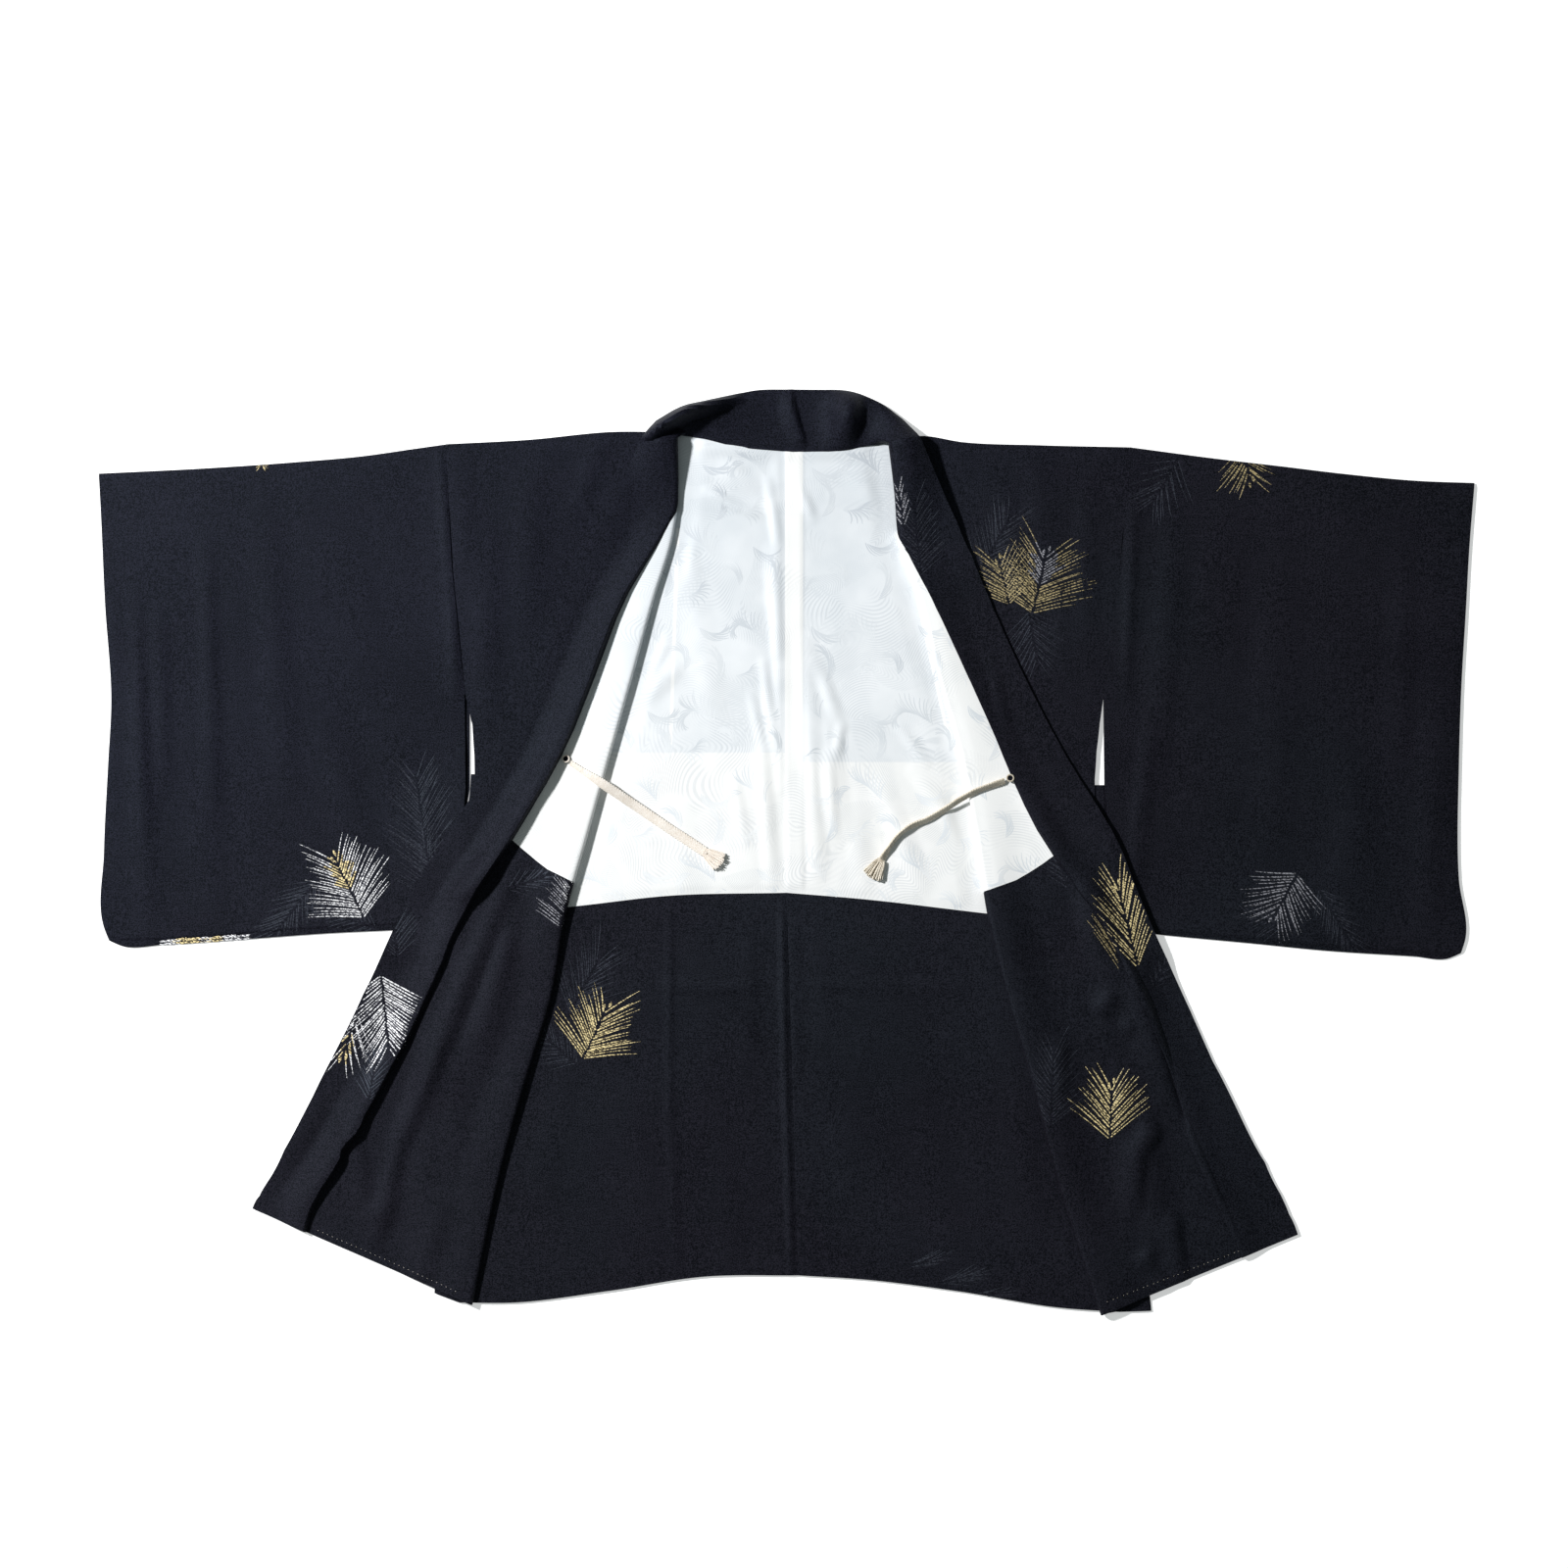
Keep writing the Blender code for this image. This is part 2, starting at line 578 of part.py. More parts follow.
def collar_front_rows(side, columns):
    """Both faces of the collar band down the front, in the rows of the front's own seam."""
    sections, front_t, _, _, facing_row = front_grid(side)
    t = np.delete(front_t[:, -1], facing_row + 1)[:, None] * np.ones((1, columns))
    row = sections.read(t)
    seam = row["seam"]
    overlap = 2.0 * ease((seam - 35.0) / 10.0)
    s = np.empty_like(t)
    for i in range(len(t)):
        _, last, edge = sections.reach(t[i, 0])
        s[i] = spread(last - overlap[i, 0] + GAP / 2, edge, columns)
    lift = (DOUBLED + GAP) * ease((seam - 5.0) / 30.0) * (1.0 - ease((s - seam - 1.0) / SEAM_RUN))
    thickness = between(CLOTH, COLLAR, ease((s / row["radius"] + 1.5) / 3.0))
    inside = fold_point(sections, t, s, lift - CLOTH / 2)
    outside = fold_point(sections, t, s, lift - CLOTH / 2 + thickness)
    rise = row["edge_lift"] * ease((s - seam) / np.maximum(sections.reach(t)[2] - seam, 1.0))
    inside[..., 2] += rise
    outside[..., 2] += rise
    return inside, outside, (s[0] - s[0, 0]) / (s[0, -1] - s[0, 0])


def collar(side, material):
    """Half of the collar: round the neck from the centre back, then down the front to the hem."""
    inside, outside, share = collar_front_rows(side, 12)
    neck = collar_neck_rows(side, share)
    middle = np.concatenate([neck, (inside[:2] + outside[:2]) / 2])
    normal = np.cross(np.gradient(middle, axis=0), np.gradient(middle, axis=1)) * OUTWARD[side]
    normal /= np.linalg.norm(normal, axis=-1, keepdims=True)
    first_thickness = np.linalg.norm(outside[0] - inside[0], axis=-1)
    thinning = np.linspace(0.0, 1.0, len(neck))[:, None] ** 2
    half = normal[:len(neck)] * between(COLLAR, first_thickness[None, :], thinning)[..., None] / 2
    wall(f"collar_{side}", np.concatenate([neck - half, inside]), np.concatenate([neck + half, outside]), material)


def sleeve(side, material):
    """A flattened tube, folded along its top, sewn along its bottom, open at the cuff."""
    inner = ARMHOLE[side] + SLEEVE_INNER[side]
    inner = gap_beside(inner, OUTWARD[side] * GAP)
    top = smooth_line(SLEEVE_TOP_EDGE[side][:-1] + [inner[0]])
    bottom = smooth_line(SLEEVE_BOTTOM[side][:-1] + [inner[-1]])
    u = np.linspace(0.0, 1.0, 15)
    v = np.concatenate([[0.0], np.linspace(0.012, 0.988, 11), [1.0]])
    plan = patch(top, bottom, smooth_line(CUFF[side]), straight_line(inner), u, v)
    plan = np.swapaxes(plan, 0, 1)
    inside = between(plan, plan[:, len(v) // 2, None, :], 0.006)
    puff = ridges(SLEEVE_RIDGES, plan)
    y = plan[..., 1]
    sewn = ease((y - 120.0) / 60.0) * ease((u[:, None] - 0.9) / 0.1)
    puff = (puff + sewn * 1.4) * np.sin(math.pi * v)[None, :] ** 0.25
    edge = np.zeros(len(v), bool)
    edge[[0, -1]] = True
    half = (CLOTH * 2 + GAP) / 2
    over = np.where(edge, half, SLEEVE_TOP + puff)
    under = np.where(edge, half - 0.02, 0.0)
    space_over = np.where(edge, half + 0.02, CLOTH + GAP + 0.05 + puff)
    space_under = np.where(edge, half - 0.02, CLOTH)
    outer_ring = np.concatenate([at_height(plan, under)[:, 1:-1], at_height(plan, over)[:, ::-1]], axis=1)
    inner_ring = np.concatenate([at_height(inside, space_under)[:, 1:-1],
                                 at_height(inside, space_over)[:, ::-1]], axis=1)
    tube(f"sleeve_{side}", outer_ring, inner_ring, material)


def tube(name, outer, inner, material):
    """A closed wall between two stacks of rings, open along its length."""
    rows, columns = outer.shape[:2]
    count = rows * columns
    faces = grid_faces(rows, columns, 0, True) + grid_faces(rows, columns, count, True)
    for first in (0, (rows - 1) * columns):
        for j in range(columns):
            a = first + j
            b = first + (j + 1) % columns
            faces.append((a, b, b + count, a + count))
    points = np.concatenate([outer.reshape(-1, 3), inner.reshape(-1, 3)])
    return new_object(name, points, faces, material)


def gusset(side, material):
    """The side gusset, folded in half with its fold outward."""
    out = OUTWARD[side]
    fold = smooth_line(GUSSET_FOLD[side])(np.linspace(0.0, 1.0, 12))
    hem_y = BODY_SIDE[side][-1][1]
    inner_y = np.linspace(fold[0, 1], hem_y, 12)
    inner = np.stack([x_at(ARMHOLE[side] + BODY_SIDE[side], inner_y) + out * GAP, inner_y], axis=-1)
    leg = between(inner, fold, 0.8)
    tip_in = fold - np.array([out * 1.2, 0.0])
    middle = (2 * CLOTH + GAP + 0.05) / 2
    outside = [at_height(inner, 0.0), at_height(leg, 0.0), at_height(fold, middle),
               at_height(leg, SLEEVE_TOP), at_height(inner, SLEEVE_TOP)]
    inside = [at_height(inner, CLOTH), at_height(leg, CLOTH), at_height(tip_in, middle),
              at_height(leg, SLEEVE_TOP - CLOTH), at_height(inner, SLEEVE_TOP - CLOTH)]
    wall(f"gusset_{side}", np.stack(inside, axis=1), np.stack(outside, axis=1), material)


def cord(side, material):
    """A tie cord as a tube along its route."""
    route = np.array(CORD_ROUTE[side], float)
    knots = length_knots(route)
    length = np.linalg.norm(np.diff(route, axis=0), axis=1).sum()
    count = int(round(length / (2.2 * CORD_DIAMETER))) + 1
    points = read_table(knots, route, np.linspace(0.0, 1.0, count))
    curve = bpy.data.curves.new(f"cord_{side}", "CURVE")
    curve.dimensions = "3D"
    curve.bevel_depth = CORD_DIAMETER / 2 * MM
    curve.bevel_resolution = 2
    curve.use_fill_caps = True
    spline = curve.splines.new("POLY")
    spline.points.add(count - 1)
    for target, point in zip(spline.points, points):
        target.co = (*(point * MM), 1.0)
    curve.materials.append(material)
    item = bpy.data.objects.new(f"cord_{side}", curve)
    bpy.context.collection.objects.link(item)


def chi(side, material):
    """The small thread loop on the collar seam that holds the cord."""
    bpy.ops.mesh.primitive_torus_add(
        location=[value * MM for value in CHI[side]], rotation=(0.0, 0.0, 0.0),
        major_radius=CHI_RADIUS * MM, minor_radius=CHI_THREAD * MM, major_segments=18, minor_segments=6)
    item = bpy.context.object
    item.name = f"chi_{side}"
    item.data.name = item.name
    item.data.shade_smooth()
    item.data.materials.append(material)


def tassel(side, material):
    """A tassel on the cord's end: a head, and strands that fan out of its front."""
    route = np.array(CORD_ROUTE[side], float)
    end = route[-1]
    ahead = end[:2] - route[-2][:2]
    ahead = ahead / np.linalg.norm(ahead)
    beside = np.array([-ahead[1], ahead[0]])
    head_width, head_height = CORD_DIAMETER + 1.0, 4.4

    builder = bmesh.new()
    columns, rows = TASSEL_COLUMNS, TASSEL_ROWS

    def place(out, across, up):
        plan = end[:2] + ahead * (GAP + out) + beside * across
        return (plan[0] * MM, plan[1] * MM, (end[2] + up) * MM)

    def ring_point(out, i, j):
        return place(out, (i / columns - 0.5) * head_width, (j / rows - 0.5) * head_height)

    back = {(i, j): builder.verts.new(ring_point(0.0, i, j))
            for i in range(columns + 1) for j in range(rows + 1)}
    front = {(i, j): builder.verts.new(ring_point(TASSEL_HEAD, i, j))
             for i in range(columns + 1) for j in range(rows + 1)}
    for i in range(columns):
        for j in range(rows):
            for layer in (back, front):
                builder.faces.new([layer[i, j], layer[i + 1, j], layer[i + 1, j + 1], layer[i, j + 1]])
        for j in (0, rows):
            builder.faces.new([back[i, j], back[i + 1, j], front[i + 1, j], front[i, j]])
    for j in range(rows):
        for i in (0, columns):
            builder.faces.new([back[i, j], back[i, j + 1], front[i, j + 1], front[i, j]])
    bmesh.ops.recalc_face_normals(builder, faces=builder.faces)
    roots = [face for face in builder.faces if all(v in front.values() for v in face.verts)]
    bmesh.ops.inset_individual(builder, faces=roots, thickness=0.12 * MM)
    for number, root in enumerate(roots):
        strand(builder, root, number, place, head_width, head_height)
    mesh = bpy.data.meshes.new(f"tassel_{side}")
    bmesh.ops.recalc_face_normals(builder, faces=builder.faces)
    builder.to_mesh(mesh)
    builder.free()
    mesh.materials.append(material)
    item = bpy.data.objects.new(f"tassel_{side}", mesh)
    bpy.context.collection.objects.link(item)


def strand(builder, root, number, place, head_width, head_height):
    """One strand of a tassel, drawn out of its root face in two steps."""
    column, row = divmod(number, TASSEL_ROWS)
    across = ((column + 0.5) / TASSEL_COLUMNS - 0.5) * 2.0
    up = ((row + 0.5) / TASSEL_ROWS - 0.5) * 2.0
    uneven = 1.0 + 0.06 * math.sin(2.3 * number)
    face = root
    for share, width in ((0.5, 1.0), (1.0, 0.9)):
        reach = TASSEL_HEAD + (TASSEL_LENGTH - TASSEL_HEAD) * share * uneven * (1.0 - 0.12 * across**2)
        centre_across = across * between(head_width / 2, TASSEL_SPREAD, share)
        centre_up = up * between(head_height / 2, head_height * 0.62, share) + 0.8 * share
        face = bmesh.ops.extrude_discrete_faces(builder, faces=[face])["faces"][0]
        corners = [loop.vert for loop in face.loops]
        middle = face.calc_center_median()
        for corner in corners:
            offset = (corner.co - middle) * width
            target = place(reach, centre_across, centre_up)
            corner.co = offset
            corner.co.x += target[0]
            corner.co.y += target[1]
            corner.co.z += target[2]


# ---------------------------------------------------------------- materials and assembly

def make_material(name, colour, roughness):
    """A plain Principled material."""
    material = bpy.data.materials.new(name)
    material.use_nodes = True
    shader = material.node_tree.nodes["Principled BSDF"]
    shader.inputs["Base Color"].default_value = (*colour, 1.0)
    shader.inputs["Roughness"].default_value = roughness
    shader.inputs["Metallic"].default_value = 0.0
    material.diffuse_color = (*colour, 1.0)
    return material


def clear_scene():
    """Remove whatever the open file holds."""
    for item in list(bpy.data.objects):
        bpy.data.objects.remove(item, do_unlink=True)


def main():
    clear_scene()
    crepe = (0.012, 0.012, 0.018)
    damask = (0.80, 0.82, 0.84)
    silk = (0.84, 0.79, 0.70)
    makers = [
        ("back", back_panel, crepe, 0.85), ("lining_back", back_lining, damask, 0.45),
        ("front", front_panel, crepe, 0.85), ("lining_front", front_lining, damask, 0.45),
        ("gusset", gusset, crepe, 0.85), ("sleeve", sleeve, crepe, 0.85),
        ("collar", collar, crepe, 0.85), ("chi", chi, silk, 0.6),
        ("cord", cord, silk, 0.6), ("tassel", tassel, silk, 0.6),
    ]
    for piece, make, colour, roughness in makers:
        for side in SIDES:
            make(side, make_material(f"{piece}_{side}", colour, roughness))


main()
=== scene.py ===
"""Haori jacket lying open on its back, both fronts folded back: cloth, cords and woven motifs.

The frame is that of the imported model, in metres: X to the right seen from above, Y from hem to neck,
Z up. "left" and "right" are as seen from above. Tables and sizes are in millimetres unless they say
otherwise. The tables of edges and sections give the laid-out form of the solids, with flatter rolls;
the cloth is made on it with more points and its own creases.
"""
import itertools
import json
import math

import bmesh
import bpy
import numpy as np
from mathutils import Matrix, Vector
from mathutils.bvhtree import BVHTree

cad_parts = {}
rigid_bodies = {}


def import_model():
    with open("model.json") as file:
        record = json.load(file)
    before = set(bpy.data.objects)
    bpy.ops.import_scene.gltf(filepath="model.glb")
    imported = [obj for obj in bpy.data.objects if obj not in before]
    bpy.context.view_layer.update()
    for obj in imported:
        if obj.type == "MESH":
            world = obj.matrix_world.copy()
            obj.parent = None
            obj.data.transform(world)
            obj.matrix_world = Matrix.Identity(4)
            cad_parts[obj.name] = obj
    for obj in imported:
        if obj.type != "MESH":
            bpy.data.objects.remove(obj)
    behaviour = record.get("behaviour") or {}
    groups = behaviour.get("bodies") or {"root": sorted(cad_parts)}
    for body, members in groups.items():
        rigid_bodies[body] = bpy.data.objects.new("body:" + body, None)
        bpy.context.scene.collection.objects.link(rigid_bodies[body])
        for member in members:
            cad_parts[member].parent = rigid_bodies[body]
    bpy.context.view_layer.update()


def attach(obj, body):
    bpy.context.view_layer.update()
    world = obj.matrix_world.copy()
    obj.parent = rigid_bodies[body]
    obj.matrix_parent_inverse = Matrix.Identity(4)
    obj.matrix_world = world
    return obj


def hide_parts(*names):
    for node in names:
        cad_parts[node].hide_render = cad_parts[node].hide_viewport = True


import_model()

MM = 0.001
ABOVE_ALL = 0.1        # metres, where rays straight down start
SIDES = ("left", "right")
OUTWARD = {"left": -1.0, "right": 1.0}

# Cloth
SEAM_GAP = 0.001       # between pieces sewn edge to edge
CLOTH = 1.1            # one layer of crepe
LINING = 1.1           # one layer of damask
GAP = 0.3              # air between pieces that touch
DOUBLED = CLOTH + GAP + LINING   # crepe turned up at the hem, flush with the lining above it
COLLAR = 2.5           # folded collar band

# Heights of the layers
LINING_UNDER = CLOTH + GAP
FRONT_UNDER = DOUBLED + GAP
FRONT_MIDDLE = FRONT_UNDER + CLOTH / 2
SLEEVE_TOP = 2 * CLOTH + GAP + 0.05
ON_FRONT = FRONT_UNDER + CLOTH + GAP     # underside of what lies on the front's lower layer
ON_SLEEVE = SLEEVE_TOP + 0.7             # underside of what lies on a sleeve or a gusset

# How far cloth takes to settle: past a step, down to the floor, past a roll and past the collar seam
STEP_RUN = 16.0
FLOOR_RUN = 28.0
STEP_BEGINS = 12.0
ROLL_RUN = 42.0
SEAM_RUN = 26.0
SHOULDER_ROW = 0.0145  # part of the front's length over which its lower layer climbs onto the lining
SHOULDER_SHARE = 0.12  # part of the front's length over which its top edge takes the shoulder's curve
LINING_BELOW_SHOULDER = 14.0
LINING_WAVES = 1.5     # how much more uneven the lining is than the crepe
UPPER_WAVES = 0.8      # and how much less the fronts are
SEAM_STRIP = 0.7       # height of the seam allowance beside the lining's centre seam
COLLAR_OVERLAP = 2.0   # collar over the front where its seam is well past the roll
SEWN_PUFF = 1.4        # of a sleeve beside the armhole seam
SLEEVE_SPACE = 0.02    # half of the space left in a sleeve at its folded and sewn edges
GUSSET_FLAT = 0.8      # part of a gusset's width that lies flat, before its fold

# How finely the pieces are divided: points across and down, or steps in each row and column of a grid
BACK_ROWS = 60, 80     # above and below the facing line
BACK_COLUMNS = 110
BACK_LINING_POINTS = 150
FRONT_STEPS = [3] + [6] * 15 + [1] + [8] * 9, [8] * 3 + [3] + [6] * 11
FRONT_LINING_STEPS = [4] * 5 + [8] * 11, [4] * 10
COLLAR_COLUMNS = 12
NECK_ROWS = 64
SLEEVE_ROWS = 84
GUSSET_ROWS = 80
DENSE = 400            # for reading where a curve passes a value

# Fronts
UNDER_COLUMNS = 5      # of points under the roll
ROLL_COLUMNS = 11      # of points from the roll to the seam
LINING_TUCK = 0.7      # where the lining starts, as a part of the roll's radius before its crest
LINING_SEAM = 9.0      # length past the crest at which the lining first shows
ROLL_SWELL = {"left": 0.0, "right": 0.4}   # how much fuller a roll stands a little way in from its edge
ROLL_SQUARE = 0.6      # how square the upper side of a roll is, 1 round
# How high the band bulges just outside its seam: y of the section and height
COLLAR_SWELL = {
    "left": [(345, 0), (300, 3), (240, 6), (190, 8.5), (100, 9.5), (40, 9.5), (12, 9.5), (-4, 11), (-20, 14),
             (-36, 12), (-50, 5), (-80, 4), (-155, 4.5), (-215, 6.5), (-290, 8), (-365, 5.5), (-430, 3.5)],
    "right": [(60, 0), (20, 3), (-60, 4), (-110, 2), (-180, 1), (-440, 0.6)],
}

# One row for each section down a front, from the shoulder to the hem. `side_y` is where the
# section meets the side edge, `seam` the distance along the cloth from the crest of the roll to the
# collar seam, below zero where the seam is still under the roll.
#    side_y, roll_x, roll_y, seam, edge_x, edge_y, radius, edge_lift
SECTIONS = {
    "left": [
        (388, -105, 393, -11, -140, 391, 8.0, 5.0),
        (340, -105, 340, -4, -163, 339, 2.5, 5.0),
        (302, -110, 303, 9, -180, 301, 2.3, 2.5),
        (242, -128, 243, 27, -207, 240, 2.8, 1.5),
        (167, -149, 167, 36, -234, 166, 3.3, 1.5),
        (93, -170, 93, 48, -274, 93, 3.2, 1.5),
        (11, -193, 11, 73, -329, 11, 3.7, 1.0),
        (-57, -212, -57, 98, -367, -57, 3.8, 0.5),
        (-136, -226, -136, 117, -405, -136, 2.5, 0.0),
        (-216, -250, -216, 134, -444, -216, 3.2, 0.0),
        (-294, -272, -294, 157, -485, -294, 2.8, 0.0),
        (-430, -302, -432, 175, -511, -341, 2.6, 0.0),
    ],
    "right": [
        (386, 98, 388.5, -12, 126, 395, 9.5, 6.0),
        (340, 104, 340, -10, 151, 339, 7.0, 8.0),
        (299, 108, 299, 3, 170, 299, 3.6, 2.6),
        (241, 129, 241, 11, 194, 240, 2.4, 0.8),
        (168, 147, 168, 27, 227, 168, 1.9, 0.3),
        (93, 168, 93, 40, 266, 93, 1.9, 0.4),
        (12, 183, 12, 65, 315, 12, 2.4, 3.6),
        (-57, 193, -57, 105, 343, -57, 4.5, 4.2),
        (-136, 212, -136, 127, 379, -136, 4.5, 0.2),
        (-216, 235, -216, 137, 415, -216, 4.5, 0.0),
        (-294, 255, -294, 142, 456, -294, 4.0, 0.0),
        (-439, 302, -442, 147, 489, -366, 2.6, 0.0),
    ],
}

# One row for each section of the collar round the neck, from the centre back to the shoulder.
# `seam_x` is on the neckline, `inward` the direction in which the band leaves it, `low_rise` and
# `high_rise` how the band arches, `edge_z` how high the middle of its free edge stands.
#    seam_x, inward_x, inward_y, edge_x, edge_y, low_rise, high_rise, edge_z
NECK_SECTIONS = {
    "left": [
        (5, 0, 12, 5, 442.1, 0, 1, 1.4),
        (-25, 0, 12, -29, 441, 0, 4, 1.2),
        (-46, 1, 11, -56, 435, 1, 7, 2),
        (-62, 1, 10, -76, 430, 1, 11, 4),
        (-81, 5, 9, -99, 425, 0, 13, 5),
        (-99, 13, 3, -124, 411, 0, 13, 6),
    ],
    "right": [
        (5, 0, 12, 5, 442.1, 0, 1, 1.4),
        (33, 0, 12, 36, 441.5, 0, 5, 1.2),
        (54, 0, 10, 60, 439.5, 9, 24, 3),
        (68, 0, 9, 75, 435, 2, 8, 4),
        (78, -5, 7, 88, 429, 1, 6, 5),
        (88, -13, 1, 110, 413, 6, 18, 6),
    ],
}
NECK_OVERLAP = 1.5     # collar over the lining's edge at the neckline

# Edges of the laid-out pieces, each from the top or the centre outward and down
SHOULDER = {
    "left": [(-326, 390), (-249, 394), (-158, 402), (-117, 401), (-82, 397), (-49, 389), (5, 384)],
    "right": [(330, 387), (240, 389), (168, 392), (127, 398), (99, 393), (76, 389.5), (48, 385), (5, 384)],
}
ARMHOLE = {
    "left": [(-326, 390), (-320, 272), (-308, 154)],
    "right": [(330, 387), (319, 272), (303, 148)],
}
BODY_SIDE = {
    "left": [(-299, 115), (-298, 60), (-299, -60), (-301, -216), (-305, -330), (-313, -431)],
    "right": [(297, 106), (294, 60), (297, -60), (303, -216), (309, -330), (318, -440)],
}
BODY_EDGE = {side: ARMHOLE[side] + BODY_SIDE[side] for side in SIDES}
SLEEVE_INNER = {
    "left": [(-307, 60), (-318, -72)],
    "right": [(304, 60), (317, -75)],
}
SLEEVE_TOP_EDGE = {
    "left": [(-658, 362), (-557, 367), (-469, 373), (-403, 379), (-361, 385), (-326, 390)],
    "right": [(658, 353), (605, 355), (531, 362), (473, 369), (413, 376), (330, 387)],
}
CUFF = {
    "left": [(-658, 362), (-656, 325), (-652, 238), (-646, 143), (-649, 84), (-653, 0),
             (-653, -72), (-648, -85)],
    "right": [(658, 353), (653, 291), (650, 237), (645, 150), (643, 84), (643, -26),
              (649, -84), (645, -97)],
}
SLEEVE_BOTTOM = {
    "left": [(-648, -85), (-636, -90), (-596, -89), (-508, -83), (-438, -78), (-375, -75), (-318, -72)],
    "right": [(645, -97), (633, -102), (600, -100), (509, -94), (449, -88), (354, -79), (317, -75)],
}
OPEN_EDGE = {"left": 1.2, "right": 0.4}   # how far the sleeve's open inner edge gapes
# How far a sleeve's lower layer shows past the upper one there: y and distance
UNDER_PEEK = {
    "left": [(20, 0), (60, 3.9), (118, 4.4), (138, 4.6), (152, 1.5), (160, 0)],
    "right": [(60, 0), (154, 0)],
}
LIP_DEPTH = {"left": 6.0, "right": 4.5}   # how far a sleeve's upper layer stops short of the lower one
GUSSET_FOLD = {
    "left": [(-302.0, 74.5), (-303.0, 58), (-308, 20), (-322, -180), (-337, -422)],
    "right": [(304.2, 64), (308.2, 27), (311.6, -10), (325, -180), (349, -439)],
}
CENTRE_SEAM = [(5, 384), (0, -39), (6, -235), (11, -405)]
FACING_TOP = {
    "left": [(-300, -60), (-203, -52), (-114, -42), (0, -39)],
    "right": [(298, -70), (193, -59), (72, -45), (0, -39)],
}
HEM = {
    "left": [(-313, -431), (-261, -431), (-171, -420), (-76, -406), (11, -405)],
    "right": [(318, -440), (262, -436), (163, -420), (75, -409), (11, -405)],
}
# Where the turned-up hem of each front ends, at the roll and at the collar seam
FRONT_FACING = {"left": (-30, 12), "right": (-39, -3)}

# Running stitches that hold the turned-up hem of each front: from x, y to x, y, how many, and how far
# every second one is moved towards the next
HEM_STITCHES = {
    "left": (-448, -362, -316, -419, 30, 0.0),
    "right": (306, -429, 437, -380, 28, 1.1),
}
HEM_STITCH = [(-0.4, 0.05), (-0.15, -0.2), (0.15, -0.2), (0.4, 0.05)]    # along it, and how deep
HEM_THREAD = 0.14

# Cords: points of each route, given one by one: x, y and height of the cord's middle
CORD_ROUTE = {
    "left": [(-206.5, 85.5, 13.6), (-192, 76, 19.6), (-178, 67, 21.2), (-162, 56, 17.5), (-145, 44.5, 12),
             (-128, 33, 8.4), (-111, 21.5, 6.6), (-94, 10.5, 5.9), (-79, 0.5, 5.9)],
    "right": [(208.5, 68, 12.4), (196, 64, 15.6), (180, 58, 17.8), (166, 50.5, 15.6), (150, 40, 11.2),
              (134, 31, 8.6), (118, 24.5, 7.8), (106, 15, 7.6), (97, 3, 6.4), (91, -7, 5.9)],
}
CORD_WIDTH = {"left": 9.6, "right": 7.4}
CORD_THICKNESS = {"left": 2.6, "right": 2.4}
# How far each cord is turned about its own length: share of the length, radians, rise of its middle
CORD_TURN = {
    "left": [(0.0, 0.5, -2.2), (0.1, 0.42, -5.2), (0.2, 0.36, -5.3), (0.26, 0.34, -5.2), (0.36, 0.34, -4.7),
             (0.5, 0.32, -2.8), (0.6, 0.30, -1.1), (0.7, 0.26, 0.1), (0.85, 0.16, 0.1), (1.0, 0.0, 0.0)],
    "right": [(0.0, -0.5, -2.2), (0.1, -0.8, -3.2), (0.2, -0.85, -3.8), (0.26, -0.85, -3.3),
              (0.35, -0.85, -2.6), (0.45, -0.85, -1.1), (0.55, -0.85, -0.3), (0.63, -0.9, 0.2),
              (0.75, -1.1, 2.0), (0.9, -1.15, 1.9), (1.0, -0.6, 1.0)],
}
CORD_START = {"left": 0.56, "right": 0.9}   # part of the width that a cord has where it leaves its loop
CORD_POINTS, CORD_SIDES = 420, 28
BRAID_PITCH = 2.7
BRAID_SLANT = 2.2       # distance across the braid in which its stitches move on by one
STITCH_RELIEF = 0.55

TASSEL_LENGTH = 21.0
TASSEL_HEAD, TASSEL_SPREAD = 3.4, 9.5    # half widths at the binding and at the cut ends
TASSEL_LOWEST = 2.9
TASSEL_THREADS = 120
TASSEL_THREAD = 0.46, 0.52     # radius of a thread at the head and at its cut end
BINDING_TURNS, BINDING_PITCH, BINDING_THREAD = 5, 0.62, 0.36
TASSEL_SEED = {"left": 11, "right": 23}

# Thread loops on the collar seam: middle, radius of the ring, of its two threads and of their twist
CHI = {"left": (-210.8, 89.2, 10.35), "right": (213.4, 70.8, 10.85)}
CHI_RADIUS = 3.2
CHI_THREAD = 0.42
CHI_TWIST = 0.36

